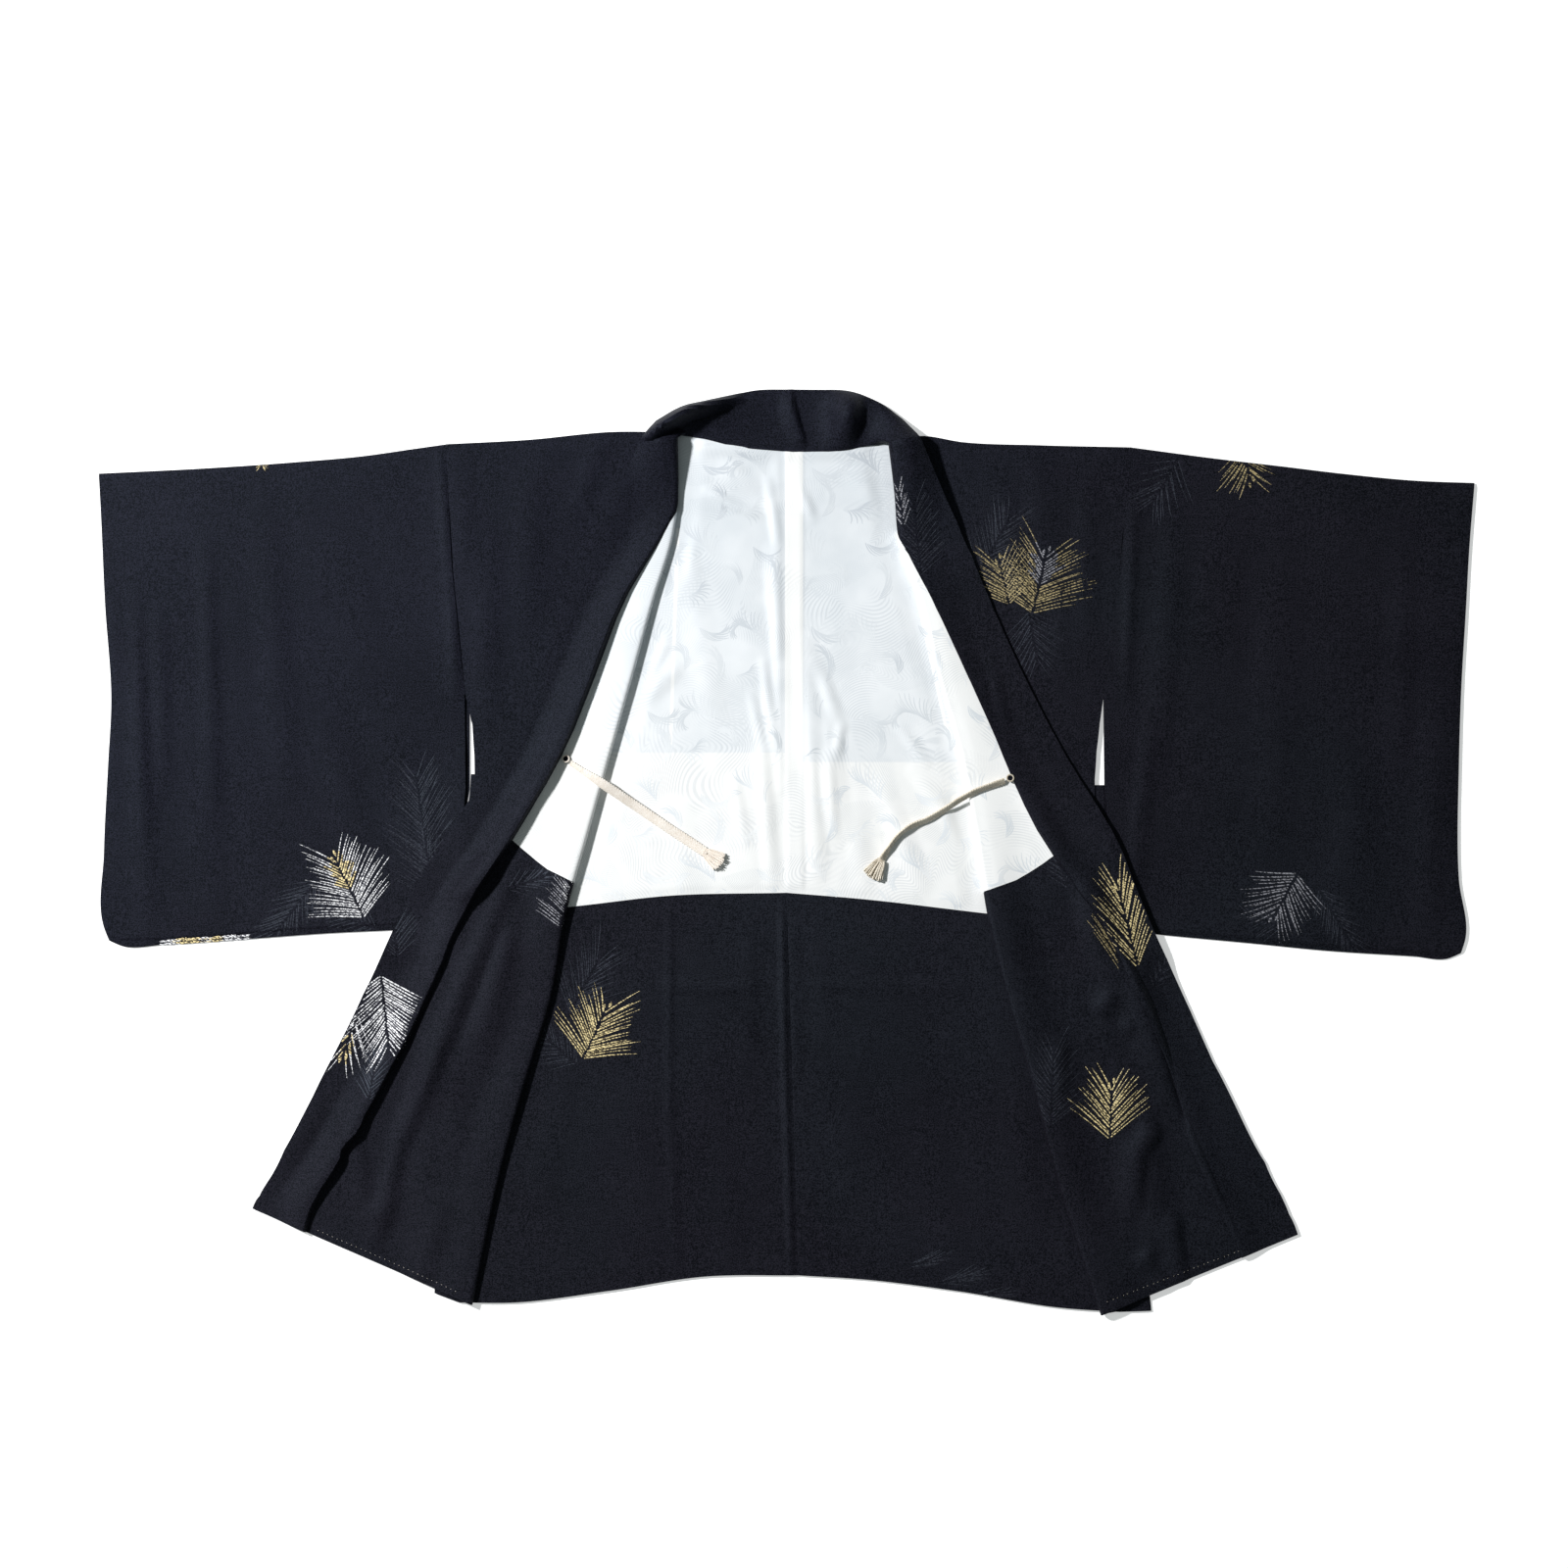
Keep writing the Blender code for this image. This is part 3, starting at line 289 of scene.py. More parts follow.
# Soft ridges and creases of each laid layer: from x, y to x, y, half width, height
LINING_CREASES = [
    (-8, 372, -6, 60, 5, 1.6), (-70, 362, -22, 348, 7, 1.8), (-135, 148, -100, 182, 7, 1.5),
    (18, 200, 30, -20, 7, 2.2), (34, 150, 52, 20, 8, 1.6), (92, 60, 128, -30, 8, 1.8),
    (120, 240, 150, 110, 6, 1.8), (-40, 60, -34, -36, 12, 1.0), (-88, 389, -2, 382, 6, 2.2),
    (6, 383, 76, 384, 6, 1.8), (-60, 372, -40, 366, 4, 1.2), (-142, 150, -118, 200, 5, 1.6),
    (-76, 345, -48, 330, 4, 1.8), (-52, 331, -24, 322, 4, 1.8), (-96, 300, -88, 262, 6, 0.8),
    (-92, 252, -70, 130, 10, 0.9), (14, 345, 25, 320, 4, 1.8), (60, 370, 96, 330, 9, 0.9),
    (28, 182, 52, 120, 5, 1.8), (52, 120, 48, 92, 4, 1.6), (108, 118, 134, 86, 4, 1.5),
    (107, 282, 136, 186, 6, 2.0), (160, 158, 184, 108, 4, 1.8), (124, 76, 184, -8, 7, 1.9),
    (-18, 356, -10, 300, 4, 1.8), (-16, 290, -9, 190, 5, 1.6), (-22, 180, -12, 100, 4, 1.8),
    (-34, 150, -22, 96, 4, 1.2), (-24, 92, -14, -30, 6, 2.0), (-52, 70, -40, 10, 5, 1.2),
    (38, 90, 44, 20, 5, 1.8), (66, 40, 74, -40, 8, 1.0), (-104, 40, -96, -30, 10, 0.8),
]
BACK_CREASES = [
    (-115, -127, -70, -131, 4, 2.0), (-74, -131, -24, -129, 4, 2.0), (26, -127, 100, -131, 4, 1.7),
    (96, -131, 172, -128, 5, 1.2), (-112, -46, -112, -250, 2.5, 1.3), (-112, -230, -106, -400, 4, 0.9),
    (-4.5, -40, -0.5, -250, 3.2, 4.4), (-0.5, -220, 4.5, -402, 3.2, 4.0), (6, -60, 9, -230, 5, 1.2),
    (-62, -140, -26, -190, 4, 1.4), (-34, -50, -38, -230, 6, 0.7), (30, -60, 36, -240, 7, 0.6),
    (-150, -250, -110, -380, 14, 0.8), (-60, -260, -52, -400, 10, 0.6), (120, -200, 150, -380, 16, 0.7),
    (70, -150, 60, -330, 12, 0.5), (210, -180, 240, -400, 12, 0.9), (-210, -210, -236, -330, 10, 0.8),
]
SLEEVE_CREASES = [
    (-622, 170, -610, -80, 10, 2.2), (-560, 90, -548, -78, 14, 1.4), (-450, 330, -400, 180, 22, 1.2),
    (-380, 120, -350, -40, 16, 1.2), (622, 150, 612, -92, 12, 1.8), (545, 60, 530, -88, 16, 1.4),
    (420, 340, 400, 160, 20, 1.2), (-556, 300, -548, 40, 7, 1.8), (-500, 340, -480, 60, 12, 1.4),
    (-600, 230, -596, 60, 6, 1.4), (-622, 250, -616, 20, 5, 1.2), (-332, 384, -322, 260, 4, 2.4),
    (-322, 260, -316, 150, 4, 2.0), (-350, 70, -330, -60, 8, 1.8), (-640, -20, -560, -70, 8, 1.2),
    (-440, 120, -400, -20, 14, 1.4), (332, 330, 324, 150, 4, 2.0), (346, 120, 330, -60, 7, 2.0),
    (372, 330, 352, 60, 10, 1.5), (470, 320, 462, -60, 16, 1.3), (590, 300, 586, 100, 10, 1.2),
    (530, 120, 560, -60, 14, 1.2),
]
# and of a front under its roll, and turned back over it
LOWER_CREASES = [
    (-312, 370, -306, 250, 5, 1.8), (-240, 380, -250, 230, 12, 1.6), (-180, 390, -200, 320, 8, 1.5),
    (-285, 300, -290, 130, 10, 1.6), (288, 360, 282, 180, 7, 1.8), (240, 380, 250, 240, 12, 1.6),
    (200, 360, 238, 200, 8, 1.4), (262, 262, 266, 180, 8, 1.4),
]
UPPER_CREASES = [
    (-230, 90, -236, 20, 8, 0.5), (-262, -20, -318, -150, 8, 2.6), (-318, -150, -378, -290, 8, 2.6),
    (-300, -100, -352, -250, 10, 2.2), (-262, -90, -300, -220, 9, 2.0), (-420, -250, -400, -345, 7, 2.6),
    (-448, -240, -480, -300, 9, 1.6), (-372, -300, -396, -380, 7, 2.2), (-330, -330, -342, -400, 8, 2.0),
    (196, 180, 210, 120, 5, 1.4), (230, 60, 275, -30, 8, 1.6), (-345, -190, -300, -300, 16, 1.8),
    (-250, -230, -300, -330, 14, 1.6), (-400, -360, -372, -330, 10, 1.8), (-262, -110, -285, -200, 12, 1.5),
    (258, -170, 268, -230, 12, 2.2), (330, -200, 318, -270, 9, 2.2), (340, -240, 352, -372, 9, 1.8),
    (300, -120, 312, -170, 9, 1.6),
]
# The centre seam of the lining
LINING_SEAM_LINE = [(-1.5, 384), (-1.0, 150), (0, -39)]
# Folds with one steep and one gentle side. Each is a row of points down or along the cloth:
# x, y, height, reach to the left and to the right of the way it runs
UPPER_FOLDS = [
    [(286, 0, 0, 20, 16), (289, -40, 5, 22, 20), (293, -70, 6, 22, 20), (303, -105, 4, 18, 16),
     (312, -125, 0, 16, 14)],
    [(316, -90, 0, 8, 24), (322.5, -110, 5, 9, 28), (338, -144, 6.5, 10, 30), (355, -188, 6, 9.5, 28),
     (368.5, -237, 4, 7, 22), (378, -262, 0, 6, 16)],
    [(358, -260, 0, 6, 18), (351, -269, 5.5, 7.5, 22), (337, -288, 7, 8, 26), (335.5, -325, 5, 6.5, 24),
     (334, -352, 0, 6, 20)],
    [(316, -134, 0, 8, 12), (310, -140, 5, 9, 14), (302.5, -150, 4.5, 9, 14), (300, -158, 0, 8, 12)],
    [(331, -159, 0, 7, 10), (326, -168, 4.5, 9, 12), (325, -178, 0, 7, 10)],
    [(262, -172, 0, 11, 18), (257, -195, 5.5, 13, 20), (258, -220, 5, 12, 20), (262, -242, 0, 10, 16)],
    [(372, -338, 0, 7, 16), (370.5, -358, 5, 9, 18), (375, -380, 4.5, 7, 18), (379.5, -408, 3, 6, 16),
     (382, -420, 0, 6, 14)],
    [(349, -376, 0, 9, 12), (345, -388, 5, 11, 14), (346, -400, 0, 9, 12)],
    [(378, -250, 0, 4, 4), (390, -280, 1.6, 4, 3), (412, -330, 1.6, 4, 3), (432, -372, 0, 4, 3)],
    [(-256, -40, 0, 16, 12), (-272, -100, 2.6, 16, 14), (-298, -170, 2.2, 18, 14), (-330, -240, 0, 18, 14)],
    [(-330, -180, 0, 12, 12), (-352, -240, 2.0, 12, 14), (-380, -310, 1.8, 12, 14), (-398, -360, 0, 10, 12)],
]
NECK_FOLDS = [
    [(-139, 391, 0, 9, 8), (-130.9, 397.6, 12, 9, 8), (-118.5, 406, 20, 10, 9), (-105, 414.5, 24, 9, 9),
     (-92, 421, 24, 8, 9), (-72, 427, 18, 7, 9), (-53, 432, 8, 6, 8), (-40, 434.5, 0, 6, 7)],
    [(18, 386, 0, 12, 3.5), (15, 395, 3, 14, 4), (9, 412, 4.6, 18, 4.5), (5, 430, 4.4, 16, 4.5),
     (3.5, 441, 0.5, 14, 4)],
    [(59, 392, 2, 16, 10), (60, 400, 4.5, 20, 13), (62, 414, 7.5, 22, 14), (65, 426, 6, 20, 13),
     (67, 435, 1, 16, 12)],
]
# Slow unevenness of cloth that was folded and laid out: wavelength, direction, phase, height
WAVES = [
    (150, 0.3, 0.4, 0.16),
    (97, 1.9, 1.7, 0.12),
    (63, 1.1, 2.9, 0.07),
    (171, 2.6, 0.9, 0.14),
    (41, 0.1, 3.8, 0.035),
]

# Woven needle sprays. Foot of the stem x, y, its direction in degrees, its length, the length of the
# needles, bundles of them up each side, their angle from the stem, and the metals near to and far from it
METAL_SPRAYS = {
    "sleeve_left": [
        (-406, -59, 116, 52, 56, 5, 60, "gold", "silver"),
        (-599, -87.2, 4.0, 14, 9, 5, 8, "silver", "silver"),
        (-586, -86.2, 4.0, 30, 10, 9, 8, "gold", "gold"),
        (-562, -84.6, 4.0, 8, 9, 3, 8, "silver", "silver"),
        (-552, -84.0, 4.0, 8, 9, 3, 8, "gold", "gold"),
        (-542, -83.2, 4.0, 24, 9, 8, 8, "silver", "silver"),
        (-502, 374, -92, 5, 8, 2, 60, "old_gold", "old_gold"),
    ],
    "sleeve_right": [
        (436, 384, -75, 22, 41, 3, 56, "old_gold", "old_gold"),
        (487, -24, -119, 36, 48, 4, 62, "pewter", "pewter"),
    ],
    "front_left": [(-209, -72, 78, 44, 40, 3, 64, "silver", "pewter")],
    "front_right": [
        (236, 232, 77, 48, 60, 5, 64, "pewter", "old_gold"),
        (212, 240, 103, 32, 46, 4, 56, "old_gold", "old_gold"),
        (309, -270, 88, 40, 54, 4, 48, "gold", "gold"),
        (334, -104, 104, 66, 66, 5, 30, "gold", "gold"),
        # this dim gold part of the gold spray beside it is painted shade, where the cloth turns away from the
        # light
        (318, -108, 102, 34, 62, 4, 22, "old_gold", "old_gold"),
    ],
    "collar_left": [
        (-387, -123, -84, 62, 52, 5, 56, "silver", "silver"),
        (-412, -160, -109, 30, 46, 3, 34, "gold", "silver"),
    ],
    "collar_right": [
        (334, -104, 104, 66, 66, 5, 30, "gold", "gold"),
        (111, 315, 99, 26, 22, 3, 24, "pewter", "pewter"),
    ],
    "back_left": [(-193, -194, 65, 42, 56, 4, 56, "gold", "gold")],
}
# The same sprays woven black on black
SHADOW_SPRAYS = {
    "sleeve_left": [
        (-338, -42, 98, 112, 62, 9, 50),
        (-308, -70, 118, 80, 50, 7, 46),
        (-452, -30, -128, 60, 46, 6, 42),
        (-396, -72, 160, 66, 26, 6, 40),
    ],
    "sleeve_right": [
        (372, 372, -120, 40, 47, 5, 46),
        (512, -40, -60, 56, 34, 5, 40),
        (470, -70, 160, 30, 24, 3, 50),
    ],
    "front_left": [(-262, -34, 20, 46, 30, 5, 30)],
    "front_right": [
        (176, 250, 62, 74, 52, 7, 44),
        (232, 226, -80, 40, 44, 4, 50),
        (252, -256, 88, 62, 44, 6, 46),
        (268, -30, 110, 40, 34, 4, 40),
        (352, -126, 60, 26, 18, 3, 40),
    ],
    "collar_left": [(-372, -96, 96, 46, 40, 5, 44), (-398, -232, 80, 40, 34, 4, 40)],
    "collar_right": [(128, 268, 96, 60, 40, 6, 50), (352, -126, 60, 26, 18, 3, 40)],
    "back_left": [(-205, -150, 62, 50, 56, 5, 42), (-204, -200, 140, 30, 34, 3, 50)],
    "back_right": [
        (121, -395, 14, 20, 32, 3, 12),
        (152, -411, 13, 24, 34, 3, 12),
        (184, -424, 5, 20, 26, 2, 12),
    ],
}
PROUD, PLUME_PROUD = 0.17, 0.07     # how far a woven thread stands out of its cloth
SUNK = 0.03             # how far its edges stand above the cloth and its underside lies in it
THREAD_JUMP = 12.0      # a thread breaks off where its next point is further away
NEEDLE_POINTS = 9
NEEDLE_WIDTH = 1.25
SHADOW_NEEDLE_WIDTH = 0.9
NEEDLE_SPACE = 1.6      # between neighbouring needles of a bundle
BUD_REACH = 30          # shortest needles of a spray that has buds at its tip

# The damask's repeat, and its fans of barbs: x, y, direction, how far apart the first and the last start,
# angle between them, how far each turns, both in radians, length and number of the barbs
PLUME_REPEAT = (104.0, 78.0)
PLUME_CORNER = (-225, -70)
PLUME_FREE = 7.5, 9.5   # middle and half width of a strip beside the seam that stays free of them
PLUME_POINTS = 6
PLUME_WIDTH = 1.25
PLUMES = [
    (0, 0, 70, 20, 1.5, 1.2, 27, 11),
    (24, 6, 15, 12, 1.9, -1.3, 20, 9),
    (52, 38, 140, 22, 1.3, -1.1, 30, 12),
    (72, 10, 95, 14, 1.8, 1.4, 22, 10),
    (90, 50, -30, 16, 1.6, 1.2, 25, 10),
    (28, 52, 205, 12, 2.0, 1.5, 18, 9),
]

# Colours: the two tones of each thread, light and dark where it is metal, dark and light where silk. A
# metal's light tone is painted glint.
METALS = {
    "gold": ((1.0, 0.82, 0.42), (0.085, 0.062, 0.028)),
    # dim gold, also used as painted shade on a gold spray
    "old_gold": ((0.50, 0.40, 0.20), (0.030, 0.025, 0.014)),
    "silver": ((0.98, 0.98, 1.0), (0.08, 0.08, 0.10)),
    "pewter": ((0.34, 0.34, 0.38), (0.020, 0.020, 0.026)),
}
WOVEN = [*METALS, "shadow"]
SILKS = {
    "left": ("white_silk", (0.80, 0.70, 0.60), (1.0, 0.95, 0.89)),
    # the right's silk is the same silk painted darker: painted shade for the right cord's face turned away
    # from the light; its tassel, loop and hem stitches take it too
    "right": ("shaded_silk", (0.50, 0.42, 0.31), (0.86, 0.80, 0.69)),
}
SILK_TINT = (0.65, 0.80, 1.0, 1.0)
# the lining's two tones, and y above which it is greyer, being doubled beneath
LINING_TONES = {
    "back_left": (((0.925, 0.930, 0.925), (0.965, 0.965, 0.965)), 95.0),
    "back_right": (((0.925, 0.930, 0.925), (0.965, 0.965, 0.965)), 86.0),
    "front_left": (((0.90, 0.905, 0.90), (0.95, 0.955, 0.95)), 116.0),
    # the right front's lining is painted whiter than the rest: a painted highlight for the light its slope
    # catches
    "front_right": (((0.96, 0.965, 0.96), (0.99, 0.99, 0.99)), 400.0),
}
# and the bands of it that stay white, with a seam allowance behind: from x, y to x, y and half width
LINING_BANDS = {
    "back_left": [(-104, 309, -111, 103, 1.6), (7, 400, 7, 80, 8.6)],
    "back_right": [(7, 400, 7, 80, 8.6), (121, 262, 152, 121, 1.6), (152, 121, 185, 37, 1.6)],
}

# Floor, light and camera, in metres
FLOOR_SIZE, FLOOR_Z = 8.0, -0.0006
FLOOR_TONES = (0.93, 0.93, 0.93), (0.96, 0.96, 0.955)
FLOOR_GLOW = 0.45
SKY, SKY_POWER = (0.88, 1.0, 0.98, 1.0), 0.16
KEY_PLACE = (-2.35, 1.25, 2.55)
KEY_SIZE = 0.34
KEY_POWER = 174.0
LENS, SENSOR = 85.0, 36.0       # mm
SEEN = 1.499                    # of the floor across the picture
CAMERA_PLACE = (-0.0025, 0.065, SEEN * LENS / SENSOR + 0.004)


# ---------------------------------------------------------------- curves and small functions

def shares(count):
    """Evenly spaced numbers from 0 to 1."""
    return np.linspace(0.0, 1.0, count)


def join(*parts):
    """Numbers side by side as points."""
    return np.stack(np.broadcast_arrays(*parts), axis=-1)


def ease(x):
    """0 to 1 with level ends."""
    x = np.clip(x, 0.0, 1.0)
    return x * x * (3.0 - 2.0 * x)


def climb(value, start, run):
    """0 up to a start, then up to 1 over a run."""
    return ease((value - start) / run)


def read_table(knots, values, where):
    """Smooth reading of a table: cubic pieces that pass through every row."""
    slopes = np.gradient(values, knots, axis=0)
    where = np.clip(np.asarray(where, float), knots[0], knots[-1])
    cell = np.clip(np.searchsorted(knots, where, side="right") - 1, 0, len(knots) - 2)
    span = (knots[cell + 1] - knots[cell])[..., None]
    f = (where - knots[cell])[..., None] / span
    return (values[cell] * (2 * f**3 - 3 * f**2 + 1) + slopes[cell] * span * (f**3 - 2 * f**2 + f)
            + values[cell + 1] * (3 * f**2 - 2 * f**3) + slopes[cell + 1] * span * (f**3 - f**2))


def length_knots(points):
    """Distances along a row of points, as fractions of the whole."""
    steps = np.linalg.norm(np.diff(points, axis=0), axis=1)
    return np.concatenate([[0.0], np.cumsum(steps)]) / steps.sum()


def smooth_line(points):
    """A smooth curve through a few points, read by the fraction of its length."""
    points = np.array(points, float)
    knots = length_knots(points)
    return lambda t: read_table(knots, points, t)


def straight_line(points):
    """Straight runs between points, read by the fraction of their length."""
    points = np.array(points, float)
    knots = length_knots(points)
    return lambda t: np.stack([np.interp(t, knots, points[:, k]) for k in (0, 1)], axis=-1)


def x_at(points, y):
    """x of a line that runs down the garment, at a height y."""
    points = np.array(points, float)[::-1]
    return np.interp(y, points[:, 1], points[:, 0])


def y_at(points, x):
    """y of a line that runs across the garment, at a place x."""
    points = np.array(sorted(points), float)
    return np.interp(x, points[:, 0], points[:, 1])


def shoulder_y(side, x):
    """y of the shoulder fold and neckline at a place x."""
    points = smooth_line(SHOULDER[side])(shares(160))
    order = np.argsort(points[:, 0])
    return np.interp(x, points[order, 0], points[order, 1])


def unit(vectors):
    """Vectors brought to length 1."""
    return vectors / np.linalg.norm(vectors, axis=-1, keepdims=True)


def swelling(f, start=0.12):
    """Rises and falls from one end to the other, without reaching 0."""
    return np.sin(math.pi * (start + 0.76 * f))


def between(a, b, f):
    """The point a fraction f of the way from a to b."""
    return a + (b - a) * f


def patch(top, bottom, start, end, u, v):
    """Coons patch: plan points between four edge curves, u along the top, v down the start."""
    across_share, down_share = u[None, :, None], v[:, None, None]
    across = between(top(u)[None], bottom(u)[None], down_share)
    down = between(start(v)[:, None], end(v)[:, None], across_share)
    corners = between(*(between(line(0.0), line(1.0), across_share) for line in (top, bottom)), down_share)
    return across + down - corners


def ridges(table, plan):
    """Height of the soft ridges at plan points."""
    height = np.zeros(plan.shape[:-1])
    for x0, y0, x1, y1, half_width, peak in table:
        a = np.array([x0, y0], float)
        run = np.array([x1, y1], float) - a
        along = np.clip(((plan - a) @ run) / (run @ run), 0.0, 1.0)
        away = np.linalg.norm(plan - (a + along[..., None] * run), axis=-1)
        height += peak * swelling(along) * (1.0 - ease(away / (2.0 * half_width)))
    return height


def waves(plan):
    """Slow unevenness of laid cloth at plan points, never below zero."""
    height = np.full(plan.shape[:-1], sum(row[3] for row in WAVES))
    for length, direction, phase, peak in WAVES:
        along = plan[..., 0] * math.cos(direction) + plan[..., 1] * math.sin(direction)
        height += peak * np.sin(2 * math.pi * along / length + phase)
    return height


def folds(table, plan):
    """Height of folds at plan points, read from the nearest place on each fold's line."""
    height = np.zeros(plan.shape[:-1])
    for line in table:
        nearest, rise = np.full(plan.shape[:-1], np.inf), np.zeros(plan.shape[:-1])
        for p, q in zip(np.array(line[:-1], float), np.array(line[1:], float)):
            run = q[:2] - p[:2]
            along = np.clip(((plan - p[:2]) @ run) / (run @ run), 0.0, 1.0)[..., None]
            row = p + along * (q - p)
            off = plan - row[..., :2]
            away = np.linalg.norm(off, axis=-1)
            side = (run[0] * off[..., 1] - run[1] * off[..., 0]) / (np.linalg.norm(run) * away + 1e-6)
            reach = between(row[..., 4], row[..., 3], 0.5 + 0.5 * side)
            rise = np.where(away < nearest, row[..., 2] * (1.0 - ease(away / reach)), rise)
            nearest = np.minimum(nearest, away)
        height += rise
    return height


def finer(grid, row_steps, column_steps):
    """A grid of numbers with each of its cells divided evenly into steps."""
    def places(steps):
        return np.concatenate([i + np.arange(n) / n for i, n in enumerate(steps)] + [[len(steps)]])
    rows, columns = places(row_steps), places(column_steps)
    across = np.stack([np.interp(columns, np.arange(grid.shape[1]), line) for line in grid])
    return np.stack([np.interp(rows, np.arange(grid.shape[0]), line) for line in across.T], axis=1)


# ---------------------------------------------------------------- the folded front

class Sections:
    """The folded front of one side, read at t from 0 at the shoulder to 1 at the hem."""

    def __init__(self, side):
        self.side = side
        self.values = np.array(SECTIONS[side], float)
        self.knots = length_knots(self.values[:, 1:3])

    def read(self, t):
        row = read_table(self.knots, self.values, t)
        return {
            "side": join(x_at(BODY_EDGE[self.side], row[..., 0]), row[..., 0]),
            "roll": row[..., 1:3],
            "seam": row[..., 3],
            "edge": row[..., 4:6],
            "radius": row[..., 6],
            "edge_lift": row[..., 7],
        }

    def reach(self, t):
        """Distances along the cloth from the crest: to the side edge, the seam, the collar's edge."""
        row = self.read(t)
        turn = row["radius"] * (math.pi / 2 - 1)
        to_side = np.linalg.norm(row["side"] - row["roll"], axis=-1) + turn
        to_edge = np.linalg.norm(row["edge"] - row["roll"], axis=-1) + turn
        return -to_side, row["seam"], to_edge

    def t_at_roll(self, y):
        """t where the roll passes a height y."""
        dense = shares(DENSE)
        return float(np.interp(-y, -self.read(dense)["roll"][:, 1], dense))


def rest_height(side, plan):
    """Underside of a turned-back layer: on the front, then the sleeve or gusset, then the surface."""
    x, y = plan[..., 0], plan[..., 1]
    past_body = OUTWARD[side] * (x - x_at(BODY_EDGE[side], y))
    past_gusset = OUTWARD[side] * (x - x_at(GUSSET_FOLD[side], y))
    below_sleeve = y_at(SLEEVE_BOTTOM[side], x) - y
    height = between(ON_FRONT, ON_SLEEVE, climb(past_body, STEP_BEGINS, STEP_RUN))
    past_all = climb(past_gusset, STEP_BEGINS, FLOOR_RUN) * climb(below_sleeve, STEP_BEGINS, FLOOR_RUN)
    return height * (1.0 - past_all)


def fold_middle(sections, t, s):
    """Distance q outward from the roll and height z of the cloth's middle, in the section's plane."""
    row = sections.read(t)
    radius = row["radius"]
    quarter = radius * math.pi / 2
    angle = np.clip(s / radius, -math.pi / 2, math.pi / 2)
    beyond = np.maximum(np.abs(s) - quarter, 0.0)
    squared = np.where(angle > 0.0, ROLL_SQUARE, 1.0)
    q = radius * (1.0 - np.cos(angle) ** squared) + beyond
    plan = fold_plan(sections, t, row, s, q)
    roll_z = FRONT_MIDDLE + radius * (1.0 + np.sign(angle) * np.abs(np.sin(angle)) ** squared)
    uneven = folds(UPPER_FOLDS, plan) + ridges(UPPER_CREASES, plan) + UPPER_WAVES * waves(plan)
    rest = rest_height(sections.side, plan) + CLOTH / 2 + uneven
    settled = ease(beyond / ROLL_RUN)
    upper_z = between(FRONT_MIDDLE + 2.0 * radius, rest, settled)
    upper_z = upper_z + ROLL_SWELL[sections.side] * ease(beyond / 11.0) * (1.0 - climb(beyond, 11.0, 28.0))
    # creases of the lower layer only where nothing lies on it
    to_side, _, to_edge = sections.reach(t)
    bare = climb(-s - to_edge, 14.0, 18.0) * climb(s - to_side, 2.0, 10.0)
    roll_z = roll_z + bare * (ridges(LOWER_CREASES, plan) + UPPER_WAVES * waves(plan))
    z = np.where(s > quarter, upper_z, roll_z)
    # its top edge comes down to the back at the shoulder
    drop = (FRONT_UNDER - LINING_UNDER) * climb(-quarter, s, 6.0) * (1.0 - ease(t / SHOULDER_ROW))
    return q, z - drop


def fold_plan(sections, t, row, s, q):
    """Plan point a distance q outward from the roll, towards the side edge or the collar's edge."""
    quarter = (row["radius"] * math.pi / 2)[..., None]
    to_side = unit(row["side"] - row["roll"])
    to_edge = unit(row["edge"] - row["roll"])
    upper = climb(s[..., None] / quarter, -1.0, 2.0)
    plan = row["roll"] + q[..., None] * between(to_side, to_edge, upper)
    start = sections.read(0.0)
    slope = (start["side"][1] - start["roll"][1]) / (start["side"][0] - start["roll"][0])
    chord_y = start["roll"][1] + slope * (plan[..., 0] - start["roll"][0])
    under_shoulder = (1.0 - upper[..., 0]) * (1.0 - ease(t / SHOULDER_SHARE))
    plan[..., 1] += under_shoulder * (shoulder_y(sections.side, plan[..., 0]) - chord_y)
    return plan


def fold_point(sections, t, s, offset):
    """A point of the folded cloth, moved out of its middle by offset, away from the fold's inside."""
    t, s = np.broadcast_arrays(np.asarray(t, float), np.asarray(s, float))
    step = 0.05
    q, z = fold_middle(sections, t, s)
    q_next, z_next = fold_middle(sections, t, s + step)
    q_last, z_last = fold_middle(sections, t, s - step)
    length = np.hypot(q_next - q_last, z_next - z_last)
    q = q - offset * (z_next - z_last) / length
    z = z + offset * (q_next - q_last) / length
    plan = fold_plan(sections, t, sections.read(t), s, q)
    return at_height(plan, z)


def spread(start, stop, count, fine=13.0, strength=5.0):
    """Places from start to stop, closer together round the crest of the roll."""
    dense = np.linspace(start, stop, 240)
    density = 1.0 + strength * np.exp(-(dense / fine) ** 2)
    total = np.concatenate([[0.0], np.cumsum((density[1:] + density[:-1]) / 2 * np.diff(dense))])
    return np.interp(np.linspace(0.0, total[-1], count), total, dense)


def front_columns(sections, t):
    """Distances along the cloth of a front's columns of points, from the side edge to the seam."""
    first, last, _ = sections.reach(t)
    radius = float(sections.read(t)["radius"])
    tuck = min(-LINING_TUCK * radius, last - 12.5)
    under = np.linspace(first + SEAM_GAP, min(-1.75 * radius, tuck - 6.0), UNDER_COLUMNS - 1)
    crest = spread(tuck, last - 3.0, ROLL_COLUMNS - 1)
    return np.concatenate([under, [min(-1.3 * radius, tuck - 3.0)], crest, [last - SEAM_GAP / 2]])


